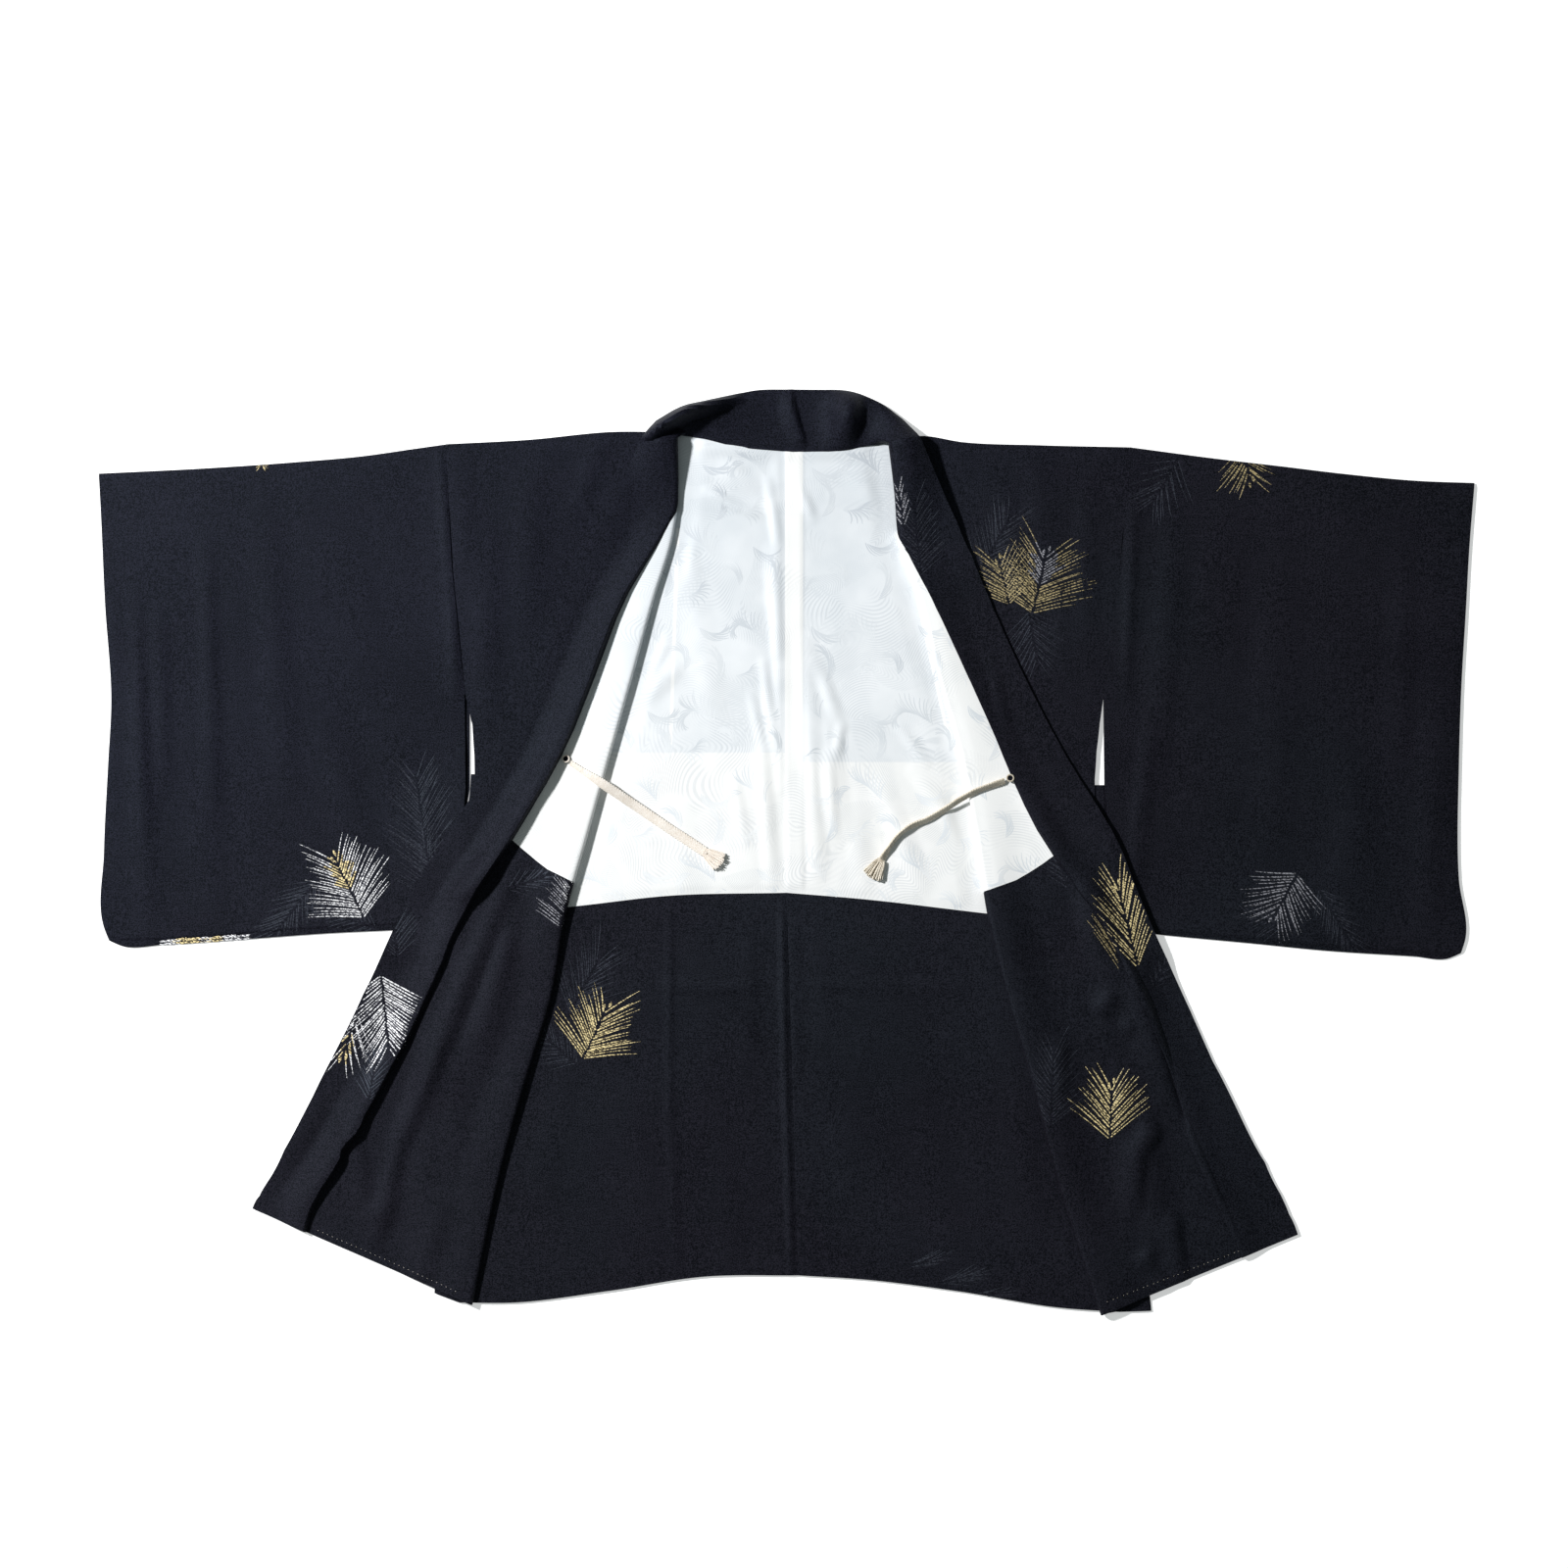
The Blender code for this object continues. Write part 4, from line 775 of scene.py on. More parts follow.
def front_grid(side):
    """The front's sections, t and s of its points in rows down and columns outward, the row where
    its lining begins and the row of its turned-up hem's top edge."""
    sections = Sections(side)
    dense = shares(DENSE)
    lining_t = float(np.interp(LINING_SEAM, sections.read(dense)["seam"], dense))
    roll_y, seam_y = FRONT_FACING[side]
    columns = UNDER_COLUMNS + ROLL_COLUMNS
    facing_columns = front_columns(sections, sections.t_at_roll(seam_y))
    out = np.clip(facing_columns / facing_columns[-1], 0.0, 1.0)
    stop = between(sections.t_at_roll(roll_y), sections.t_at_roll(seam_y), out)
    above = np.concatenate([[0.0, SHOULDER_ROW], np.linspace(SHOULDER_ROW, lining_t, 5)[1:]])
    beside = shares(12)[1:, None]
    below = np.concatenate([[0.0006], shares(10)[1:]])[:, None]
    t = np.concatenate([
        np.repeat(above[:, None], columns, axis=1),
        lining_t + beside * (stop[None, :] - lining_t),
        stop[None, :] + below * (1.0 - stop[None, :]),
    ])
    s = np.empty_like(t)
    for i in range(t.shape[0]):
        for j in range(columns):
            s[i, j] = front_columns(sections, t[i, j])[j]
    return sections, t, s, len(above) - 1, len(above) + len(beside) - 1


# ---------------------------------------------------------------- meshes

def new_object(name, vertices, faces, material):
    """A mesh piece from points in millimetres, riding on the one body, faces turned outward."""
    mesh = bpy.data.meshes.new(name)
    mesh.from_pydata([tuple(point) for point in np.asarray(vertices, float) * MM], [], faces)
    builder = bmesh.new()
    builder.from_mesh(mesh)
    bmesh.ops.recalc_face_normals(builder, faces=builder.faces)
    builder.to_mesh(mesh)
    builder.free()
    mesh.shade_smooth()
    mesh.set_sharp_from_angle(angle=math.radians(50))
    mesh.materials.append(material)
    item = bpy.data.objects.new(name, mesh)
    bpy.context.collection.objects.link(item)
    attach(item, "root")
    return item


def grid_faces(rows, columns, first=0, closed=False):
    """Quads of a grid of points numbered row by row, closed round the columns or open."""
    starts = range(first, first + (rows - 1) * columns, columns)
    cells = [(row + j, row + (j + 1) % columns) for row in starts for j in range(columns - (not closed))]
    return [(a, b, b + columns, a + columns) for a, b in cells]


def shell(name, inner, outer, material, closed=False):
    """A closed sheet between two grids of points, open round the columns or a tube of them."""
    rows, columns = inner.shape[:2]
    count = rows * columns
    rims = [(first + j, first + (j + 1) % columns) for j in range(columns - (not closed))
            for first in (0, count - columns)]
    if not closed:
        rims += [(a, a + columns) for i in range(rows - 1) for a in (i * columns, (i + 1) * columns - 1)]
    faces = grid_faces(rows, columns, 0, closed) + grid_faces(rows, columns, count, closed)
    faces += [(a, b, b + count, a + count) for a, b in rims]
    points = np.concatenate([inner.reshape(-1, 3), outer.reshape(-1, 3)])
    points[:, 2] = np.maximum(points[:, 2], 0.0)
    return new_object(name, points, faces, material)


def at_height(plan, height):
    """Plan points with a height added."""
    return np.concatenate([plan, np.broadcast_to(height, plan.shape[:-1])[..., None]], axis=-1)


def stand_for(item, node_name):
    """The piece stands for a node, whose part is hidden."""
    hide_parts(node_name)


def dress(node_name, inner, outer, material, closed=False):
    """A piece of crepe or lining between two grids of points, which stands for a node, whose part it hides.
    """
    kind, side = node_name.rsplit("_", 1)
    lining = kind.startswith("lining")
    name = f"damask_{kind.split('_')[1]}_{side}" if lining else f"cloth_{node_name}"
    item = shell(name, inner, outer, material, closed)
    stand_for(item, node_name)


# ---------------------------------------------------------------- the cloth pieces

def gap_beside(points, gap):
    """A line moved sideways by a gap."""
    return [(x + gap, y) for x, y in points]


def back_rows(side, first, last, u, count):
    """Plan points of the back in rows, from its shoulder or facing line to its facing line or hem."""
    outer = gap_beside(BODY_EDGE[side], -OUTWARD[side] * SEAM_GAP)
    lines = {"top": SHOULDER[side], "facing": FACING_TOP[side], "hem": HEM[side]}
    start_y, stop_y = lines[first][0][1], lines[last][0][1]
    edge = [p for p in outer if stop_y + 4 < p[1] < start_y - 4]
    edge = [(x_at(outer, start_y), start_y)] + edge + [(x_at(outer, stop_y), stop_y)]
    inner = [p for p in CENTRE_SEAM if lines[last][-1][1] <= p[1] <= lines[first][-1][1]]
    top = smooth_line([edge[0]] + lines[first][1:-1] + [inner[0]])
    bottom = smooth_line([edge[-1]] + lines[last][1:-1] + [inner[-1]])
    return patch(top, bottom, straight_line(edge), smooth_line(inner), u, shares(count))


def back_panel(side, material):
    """One half of the back: a single layer, doubled below the facing line."""
    u = 1.0 - (1.0 - shares(BACK_COLUMNS)) ** 1.5
    upper = back_rows(side, "top", "facing", u, BACK_ROWS[0])
    lower = back_rows(side, "facing", "hem", u, BACK_ROWS[1])
    lower[0, :, 1] -= SEAM_GAP
    plan = np.concatenate([upper, lower])
    height = np.full(plan.shape[:2], CLOTH)
    uneven = (ridges(BACK_CREASES, lower) + waves(lower)) * np.sin(math.pi * np.clip(u, 0.0, 1.0)) ** 0.3
    height[len(upper):] = DOUBLED + uneven * ease(shares(len(lower)) * 12)[:, None]
    dress(f"back_{side}", at_height(plan, 0.0), at_height(plan, height), material)


def back_lining(side, material):
    """One half of the back lining, from the neckline to the turned-up hem."""
    u = shares(BACK_LINING_POINTS)
    plan = back_rows(side, "top", "facing", u, BACK_LINING_POINTS)
    nearness = u ** 3
    plan[..., 0] += nearness * (x_at(LINING_SEAM_LINE, plan[..., 1]) - x_at(CENTRE_SEAM, plan[..., 1]))
    past_neck = OUTWARD[side] * plan[0, :, 0] - abs(SECTIONS[side][0][1]) + 2.0
    below_shoulder = LINING_BELOW_SHOULDER * ease(past_neck / 12.0)
    settle = np.clip(1.0 - np.arange(len(plan)) / 11.0, 0.0, 1.0)[:, None]
    plan[..., 1] -= below_shoulder[None, :] * settle
    plan[:, 0, 0] -= OUTWARD[side] * 2.0    # clear of the side seam
    plan[-1, :, 1] += SEAM_GAP
    clear = OUTWARD[side] * (x_at([row[1:3] for row in SECTIONS[side]], plan[..., 1]) - plan[..., 0])
    past_seam = plan[..., 0] - x_at(LINING_SEAM_LINE, plan[..., 1])
    strip = SEAM_STRIP * climb(past_seam, -0.4, 0.8) * (1.0 - climb(past_seam, 15.0, 2.5))
    lift = ridges(LINING_CREASES, plan) + LINING_WAVES * waves(plan) + strip
    above_facing = plan[..., 1] - plan[-1, :, 1][None, :]
    lift *= climb(clear, 12.0, 16.0) * ease(above_facing / 9.0)
    under = at_height(plan, LINING_UNDER + lift)
    dress(f"lining_back_{side}", under, under + [0.0, 0.0, LINING], material)


def front_panel(side, front, material):
    """A front: lower layer from the side edge, roll, and upper layer to the collar seam."""
    sections, t, s, _, facing_row = front
    t, s = (finer(grid, *FRONT_STEPS) for grid in (t, s))
    facing_row = sum(FRONT_STEPS[0][:facing_row])
    turned = climb(s / sections.read(t)["radius"], -1.4, 0.7) * (DOUBLED - CLOTH)
    turned[:facing_row + 1] = 0.0
    inside, outside = (fold_point(sections, t, s, up) for up in (-CLOTH / 2, CLOTH / 2 + turned))
    dress(f"front_{side}", inside, outside, material)


def front_lining(side, front, material):
    """The front lining where it shows: from just under the roll out to the collar seam."""
    sections, t, s, first, last = front
    t = t[first:last + 1, UNDER_COLUMNS:].copy()
    s = s[first:last + 1, UNDER_COLUMNS:].copy()
    t[-1] -= 0.0005
    dense = shares(DENSE)
    start = float(np.interp(1.0, sections.read(dense)["seam"], dense))
    above = np.linspace(start, t[0, 0], 6)[:-1]
    t = np.concatenate([np.repeat(above[:, None], t.shape[1], axis=1), t])
    s = np.concatenate([np.stack([front_columns(sections, value)[UNDER_COLUMNS:] for value in above]), s])
    s[:, -1] -= SEAM_GAP / 2
    t, s = (finer(grid, *FRONT_LINING_STEPS) for grid in (t, s))
    inside, outside = (fold_point(sections, t, s, CLOTH / 2 + GAP + up) for up in (0.0, LINING))
    dress(f"lining_front_{side}", inside, outside, material)


def collar_neck_rows(side, share):
    """Middle of the collar band round the neck, read at shares of its width from the seam out."""
    table = np.array(NECK_SECTIONS[side], float)
    knots = length_knots(table[:, 3:5])
    rows = read_table(knots, table, shares(NECK_ROWS))
    seam_x, low_rise, high_rise, edge_z = rows[:, 0], rows[:, 5], rows[:, 6], rows[:, 7]
    seam_y = shoulder_y(side, seam_x) - NECK_OVERLAP
    seam_z = DOUBLED + GAP + COLLAR / 2
    f = share[None, :, None]
    seam = join(seam_x, seam_y, seam_z)[:, None, :]
    edge = at_height(rows[:, 3:5], edge_z)[:, None, :]
    first = seam + at_height(rows[:, 1:3], low_rise)[:, None, :]
    second = edge + (seam - edge) * 0.1 + join(0.0, 0.0, high_rise)[:, None, :]
    return seam * (1 - f)**3 + 3 * first * f * (1 - f)**2 + 3 * second * f**2 * (1 - f) + edge * f**3


def collar(side, front, material):
    """Half of the collar: round the neck from the centre back, then down the front to the hem."""
    sections, front_t, _, _, facing_row = front
    t = np.delete(front_t[:, -1], facing_row + 1)[:, None] * np.ones(COLLAR_COLUMNS)
    overlap = COLLAR_OVERLAP * climb(sections.read(t)["seam"], 35.0, 10.0)
    s = np.empty_like(t)
    for i in range(len(t)):
        _, last, edge = sections.reach(t[i, 0])
        s[i] = spread(last - overlap[i, 0] + SEAM_GAP / 2, edge, COLLAR_COLUMNS)
    t, s = (finer(grid, [3] + [6] * (len(t) - 2), [8] + [4] * (COLLAR_COLUMNS - 2)) for grid in (t, s))
    row = sections.read(t)
    seam = row["seam"]
    out = s - seam
    # over the front's edge, down beyond it, with a bulge just outside the seam
    lift = (DOUBLED + GAP) * climb(seam, 5.0, 30.0) * (1.0 - climb(out, 1.0, SEAM_RUN))
    swell = np.interp(row["roll"][..., 1], *zip(*COLLAR_SWELL[side][::-1]))
    lift = lift + swell * climb(out - out[:, :1], -0.1, 2.8) * (1.0 - climb(out, 5.0, 34.0))
    thickness = between(CLOTH, COLLAR, climb(s / row["radius"], -1.5, 3.0))
    inside = fold_point(sections, t, s, lift - CLOTH / 2)
    outside = fold_point(sections, t, s, lift - CLOTH / 2 + thickness)
    rise = row["edge_lift"] * ease(out / np.maximum(sections.reach(t)[2] - seam, 1.0))
    inside[..., 2] += rise
    outside[..., 2] += rise
    # rows round the neck come before those of the front, joined by a few between them
    neck = collar_neck_rows(side, (s[0] - s[0, 0]) / (s[0, -1] - s[0, 0]))
    between_rows = shares(9)[1:-1, None, None]
    neck = np.concatenate([neck, between(neck[-1], (inside[0] + outside[0]) / 2, between_rows)])
    neck[..., 2] += folds(NECK_FOLDS, neck[..., :2])
    middle = np.concatenate([neck, (inside[:2] + outside[:2]) / 2])
    normal = unit(np.cross(*np.gradient(middle, axis=(0, 1))) * OUTWARD[side])[:len(neck)]
    first_thickness = np.linalg.norm(outside[0] - inside[0], axis=-1)
    thinning = shares(len(neck))[:, None] ** 2
    half = normal * between(COLLAR, first_thickness, thinning)[..., None] / 2
    under, over = np.concatenate([neck - half, inside]), np.concatenate([neck + half, outside])
    dress(f"collar_{side}", under, over, material)


def sleeve(side, material):
    """A flattened tube, folded along its top, sewn along its bottom, open at the cuff."""
    inner = gap_beside(ARMHOLE[side] + SLEEVE_INNER[side], OUTWARD[side] * SEAM_GAP)
    top = smooth_line(SLEEVE_TOP_EDGE[side][:-1] + [inner[0]])
    bottom = smooth_line(SLEEVE_BOTTOM[side][:-1] + [inner[-1]])
    u = shares(SLEEVE_ROWS)
    rounding = np.array([0.0, 0.0012, 0.004, 0.0075])
    v = np.concatenate([rounding, np.linspace(0.012, 0.964, 92), np.linspace(0.967, 0.990, 10),
                        1.0 - rounding[::-1]])
    plan = np.swapaxes(patch(top, bottom, smooth_line(CUFF[side]), straight_line(inner), u, v), 0, 1)
    inside = between(plan, plan[:, len(v) // 2, None, :], 0.006)
    x, y, u = np.abs(plan[..., 0]), plan[..., 1], u[:, None]
    # close to the inner edge; there above the slit, where it is sewn, and beside the slit
    by_edge = climb(u, 0.93, 0.07)
    sewn = climb(y, 120.0, 60.0) * climb(u, 0.9, 0.1)
    open_edge = climb(116.0, y, 24.0) * by_edge * OPEN_EDGE[side]
    puff = ridges(SLEEVE_CREASES, plan) + waves(plan) + sewn * SEWN_PUFF + open_edge
    puff *= np.sin(math.pi * v) ** 0.25 * ease(u / 0.03 + 0.3)
    # the upper layer ends short of the bottom edge
    lip_run = [(abs(x), y + LIP_DEPTH[side]) for x, y in SLEEVE_BOTTOM[side]]
    puff -= climb(y_at(lip_run, x) - y, -0.6, 1.2) * climb(x, 330.0, 40.0) * ease(u / 0.05)
    # the tube's middle, how far each layer has left it beside the folds, and the heights of both faces
    half = (2 * CLOTH + GAP) / 2
    bulge = np.sqrt(np.clip(1.0 - (1.0 - np.clip(np.minimum(v, 1.0 - v) / 0.012, 0.0, 1.0)) ** 2, 0.0, 1.0))
    over = half + (SLEEVE_TOP + puff - half) * bulge
    under = (half - SLEEVE_SPACE) * (1.0 - bulge)
    space_over = half + SLEEVE_SPACE + (CLOTH + GAP + 0.03 + puff - half) * bulge
    space_under = half - SLEEVE_SPACE - (half - SLEEVE_SPACE - CLOTH) * bulge
    peek = join(-OUTWARD[side] * np.interp(y, *zip(*UNDER_PEEK[side])) * by_edge, 0.0)
    outer, inner = (
        np.concatenate([at_height(line + peek, low)[:, 1:-1], at_height(line, high)[:, ::-1]], axis=1)
        for line, low, high in ((plan, under, over), (inside, space_under, space_over)))
    dress(f"sleeve_{side}", outer, inner, material, closed=True)


def gusset(side, material):
    """The side gusset, folded in half with its fold outward."""
    out = OUTWARD[side]
    fold = smooth_line(GUSSET_FOLD[side])(shares(GUSSET_ROWS))
    inner_y = np.linspace(fold[0, 1], BODY_SIDE[side][-1][1], GUSSET_ROWS)
    inner = join(x_at(BODY_EDGE[side], inner_y) + out * SEAM_GAP, inner_y)
    middle = SLEEVE_TOP / 2
    across = [between(inner, fold, share) for share in np.linspace(0.0, GUSSET_FLAT, 9)]
    inside = [at_height(line, CLOTH) for line in across]
    outside = [at_height(line, 0.0) for line in across]
    # round the fold, from the lower layer to the upper
    for angle in np.radians(np.linspace(-60, 60, 7)):
        tip = fold - 0.2 * (fold - inner) * (1.0 - math.cos(angle))
        rise = math.sin(angle)
        inside.append(at_height(tip - np.array([out * CLOTH * 0.6, 0.0]), middle + (middle - CLOTH) * rise))
        outside.append(at_height(tip, middle + middle * rise))
    inside += [at_height(line, SLEEVE_TOP - CLOTH) for line in across[::-1]]
    outside += [at_height(line, SLEEVE_TOP) for line in across[::-1]]
    dress(f"gusset_{side}", np.stack(inside, axis=1), np.stack(outside, axis=1), material)


# ---------------------------------------------------------------- cords, loops and tassels

def route_frame(side, count):
    """Points along a cord's route, with its forward, sideways and upward directions."""
    route = np.array(CORD_ROUTE[side], float)
    points = read_table(length_knots(route), route, shares(count))
    ahead = unit(np.gradient(points, axis=0))
    beside = unit(np.cross([0.0, 0.0, 1.0], ahead))
    return points, ahead, beside, np.cross(ahead, beside)


def tube(rings):
    """Points and faces of a capped tube from its rings of points."""
    rows, sides = rings.shape[:2]
    ends = [tuple(range(sides)), tuple(range((rows - 1) * sides, rows * sides))]
    return rings.reshape(-1, 3), grid_faces(rows, sides, 0, True) + ends


def cord(side, material):
    """A flat braided cord: a soft oval tube with the slanting stitches of a herringbone braid."""
    points, _, beside, above = route_frame(side, CORD_POINTS)
    along = np.concatenate([[0.0], np.cumsum(np.linalg.norm(np.diff(points, axis=0), axis=1))])
    around = np.linspace(0.0, 2 * math.pi, CORD_SIDES, endpoint=False)
    part = along / along[-1]
    share, turn, rise = np.array(CORD_TURN[side]).T
    twist = np.interp(part, share, turn)[:, None]
    narrow = between(CORD_START[side], 1.0, ease(part / 0.28))[:, None]
    half = CORD_THICKNESS[side] / 2
    across = np.cos(around) * (CORD_WIDTH[side] / 2)
    up = np.sign(np.sin(around)) * np.abs(np.sin(around)) ** 0.45 * half
    phase = along[:, None] / BRAID_PITCH + np.abs(across)[None, :] / BRAID_SLANT
    stitch = STITCH_RELIEF * (np.abs(np.sin(math.pi * phase)) - 0.6)
    rib = 1.0 + stitch / half
    a, b = across[None, :] * narrow * (1.0 + 0.25 * (rib - 1.0)), up[None, :] * rib
    lowered = (np.interp(part, share, rise) - 1.3 * ease(along / 40.0))[:, None]
    points = points + above * lowered
    rings = (points[:, None, :] + beside[:, None, :] * (a * np.cos(twist) - b * np.sin(twist))[..., None]
             + above[:, None, :] * (a * np.sin(twist) + b * np.cos(twist))[..., None])
    item = new_object(f"braid_{side}", *tube(rings), material)
    stand_for(item, f"cord_{side}")
    return item, points


def thread(points, radius, sides=5):
    """Points and faces of a thin round thread along a row of points."""
    points = np.asarray(points, float)
    ahead = np.gradient(points, axis=0)
    ahead /= np.maximum(np.linalg.norm(ahead, axis=1, keepdims=True), 1e-9)
    beside = unit(np.cross(ahead, [0.3, 0.1, 0.95]))
    above = np.cross(beside, ahead)
    around = np.linspace(0.0, 2 * math.pi, sides, endpoint=False)[:, None]
    radius = np.broadcast_to(radius, len(points))[:, None, None]
    rings = beside[:, None, :] * np.cos(around) + above[:, None, :] * np.sin(around)
    return tube(points[:, None, :] + radius * rings)


def gather(parts):
    """Several meshes as one row of points and faces."""
    points, faces, count = [], [], 0
    for part_points, part_faces in parts:
        points.append(part_points)
        faces += [tuple(index + count for index in face) for face in part_faces]
        count += len(part_points)
    return np.concatenate(points), faces


def tassel(side, material):
    """The cord's end: unravelled threads that fan out of a bound head."""
    end, ahead, beside = (rows[-1] for rows in route_frame(side, 60)[:3])
    ahead = unit(ahead * (1.0, 1.0, 0.0))
    above = np.array([0.0, 0.0, 1.0])
    chance = np.random.default_rng(TASSEL_SEED[side])
    parts = []
    for _ in range(TASSEL_THREADS):
        across, up = chance.uniform(-1.0, 1.0), chance.uniform(-1.0, 1.0)
        length = TASSEL_LENGTH * (1.0 - 0.14 * across ** 2) * chance.uniform(0.86, 1.0)
        f = shares(7)
        width = between(TASSEL_HEAD, TASSEL_SPREAD, f ** 0.8)
        wander = 0.5 * np.sin(f * chance.uniform(2, 5) + chance.uniform(0, 6))
        height = between(up * 1.5, 1.4 + up * 3.4 * math.sqrt(1.0 - 0.8 * across ** 2), f)
        line = (end + ahead * (GAP + length * f)[:, None] + beside * (across * width + wander * f)[:, None]
                + above * (height - 0.6)[:, None])
        line[:, 2] = np.maximum(line[:, 2], TASSEL_LOWEST)
        parts.append(thread(line, between(*TASSEL_THREAD, f), 4))
    angle = np.linspace(0.0, 2 * math.pi, 25)
    for number in range(BINDING_TURNS):
        line = (end + ahead * (0.6 + number * BINDING_PITCH) + beside * (np.cos(angle) * 3.9)[:, None]
                + above * (np.sin(angle) * 2.0 - 0.6)[:, None])
        parts.append(thread(line, BINDING_THREAD, 5))
    item = new_object(f"threads_{side}", *gather(parts), material)
    stand_for(item, f"tassel_{side}")
    return item


def chi(side, material, black):
    """The thread loop on the collar seam: two threads twisted in a ring, and black threads across its middle,
    painted shade for the dark inside of the ring.
    """
    x, y, z = CHI[side]
    ring, stitches = [], []
    angle = np.linspace(0.0, 2 * math.pi, 73)
    for start in (0.0, math.pi):
        turn = 9 * angle + start
        radius = CHI_RADIUS + CHI_TWIST * np.cos(turn)
        line = join(x + radius * np.cos(angle), y + radius * np.sin(angle), z + CHI_TWIST * np.sin(turn))
        ring.append(thread(line, CHI_THREAD, 6))
    stand_for(new_object(f"loop_{side}", *gather(ring), material), f"chi_{side}")
    # black threads across the ring's middle, just below it: painted shade inside the ring
    f = np.linspace(-1.0, 1.0, 9)
    for across in np.arange(-3, 4) * 0.72:
        along = f * math.sqrt(9.0 - across ** 2) * 0.92 + 0.1 * across
        stitches.append(thread(join(x + along, y + across, z - 0.55 - 0.25 * f ** 2), CHI_THREAD, 6))
    new_object(f"loop_stitches_{side}", *gather(stitches), black)


# ---------------------------------------------------------------- woven sprays

def heading(angle):
    """Plan direction of an angle, or of several."""
    return join(np.cos(angle), np.sin(angle))


def ray_down(target, x, y):
    """What a ray straight down at x, y meets first."""
    return target.ray_cast(Vector((x * MM, y * MM, ABOVE_ALL)), Vector((0, 0, -1)))


def needles(spray):
    """The needles of a spray in staggered bundles: plan points, widths and metals of each."""
    x, y, direction, stem, length, bundles, angle = spray[:7]
    near, far = spray[7:] or ("shadow", "shadow")
    shadow = near == "shadow"
    chance = np.random.default_rng(abs(int(x * 7 + y * 13 + direction * 29)))
    foot = np.array([x, y], float)
    up = math.radians(direction)
    along = heading(up)
    across = np.array([-along[1], along[0]])
    f = shares(NEEDLE_POINTS)
    pitch = stem / bundles
    made = []
    if not shadow and length > BUD_REACH and near != "silver":
        for bud in range(2):
            middle = foot + along * (stem + 7.0 + 4.5 * bud) + across * (2.8 - 4.6 * bud)
            line = middle + along * np.linspace(-3.0, 3.0, NEEDLE_POINTS)[:, None]
            width = 2.6 * np.sin(math.pi * np.linspace(0.06, 0.94, NEEDLE_POINTS))
            made.append((line, width, [near] * NEEDLE_POINTS))
    for side, level in itertools.product((-1, 1), range(bundles + 1)):
        share = np.clip((level + chance.uniform(-0.14, 0.14)) / bundles, 0.0, 1.0)
        lean = math.radians(angle * (1.0 - 0.42 * share) + chance.uniform(-3, 3)) * side
        reach = length * (1.0 - 0.20 * share) * chance.uniform(0.86, 1.06)
        width = pitch * (0.66 + 0.30 * share) * (0.6 if level == bundles else 1.0)
        strands = int(np.clip(round(width * math.sin(abs(lean)) / NEEDLE_SPACE), 2, 7))
        for place in np.linspace(-0.5, 0.5, strands):
            start = foot + along * (stem * share + place * width) + across * side * chance.uniform(0.4, 2.0)
            own = reach * (1.0 - 0.22 * abs(place)) * chance.uniform(0.66 if share > 0.5 else 0.78, 1.04)
            fan = (0.12 if shadow else 0.07) * place * -side
            way = up + lean + fan + chance.uniform(-0.02, 0.02) * (4 if shadow else 1) + 0.04 * side * f ** 2
            line = start + heading(way) * (f * own)[:, None]
            inner = chance.uniform(0.25, 0.62) * (share > 0.45) if near != far else 0.0
            breadth = (SHADOW_NEEDLE_WIDTH if shadow else NEEDLE_WIDTH) * chance.uniform(0.75, 1.15)
            made.append((line, breadth * (1.0 - 0.72 * f ** 2), [near if g < inner else far for g in f]))
    return made


def plumes():
    """The damask's figure: swirling fans of curved barbs, in a half-drop repeat."""
    chance = np.random.default_rng(41)
    f = shares(PLUME_POINTS)
    made = []
    for row, column, fan in itertools.product(range(6), range(5), PLUMES):
        x, y, direction, spine, open_angle, turn, barb, count = fan
        corner = np.array(PLUME_CORNER) + np.array(PLUME_REPEAT) * (column + 0.5 * (row % 2), row)
        place = corner + [x + chance.uniform(-4, 4), y + chance.uniform(-4, 4)]
        direction = math.radians(direction + chance.uniform(-14, 14))
        for share in shares(count):
            start = place + spine * share * heading(direction)
            lean = direction + open_angle * (share - 0.5) + turn * (f ** 1.3) + chance.uniform(-0.05, 0.05)
            own = barb * (0.5 + 0.5 * swelling(share)) * chance.uniform(0.85, 1.1)
            steps = np.cumsum(heading(lean) * (own / (PLUME_POINTS - 1)), axis=0)[:-1]
            line = start + np.concatenate([[[0.0, 0.0]], steps])
            past_seam = line[:, 0] - x_at(LINING_SEAM_LINE, line[:, 1])
            if np.all(np.abs(past_seam - PLUME_FREE[0]) >= PLUME_FREE[1]):
                made.append((line, PLUME_WIDTH * swelling(f, 0.16) ** 0.7, ["satin"] * len(f)))
    return made


def laid_needles(tree, owners, cloth, lines, proud=PROUD):
    """Points, faces and kinds of woven strips laid on a piece of cloth, where that piece is topmost."""
    points, faces, laid = [], [], []
    for line, width, kinds in lines:
        last = None
        for plan, way, half, kind in zip(line, np.gradient(line, axis=0), width / 2, kinds):
            place, normal, index, _ = ray_down(tree, *plan)
            if place is None or owners[index] != cloth:
                last = None
                continue
            place, normal = np.array(place) / MM, np.array(normal if normal.z > 0 else -normal)
            beside = unit(np.cross(normal, [*way, 0.0]))
            first = len(points)
            points += [place + beside * half + normal * SUNK, place + normal * proud,
                       place - beside * half + normal * SUNK, place - normal * SUNK]
            if last is not None and np.linalg.norm(points[first + 1] - points[last + 1]) < THREAD_JUMP:
                faces += [(last + j, last + (j + 1) % 4, first + (j + 1) % 4, first + j) for j in range(4)]
                laid += [kind] * 4
            last = first
    return points, faces, laid


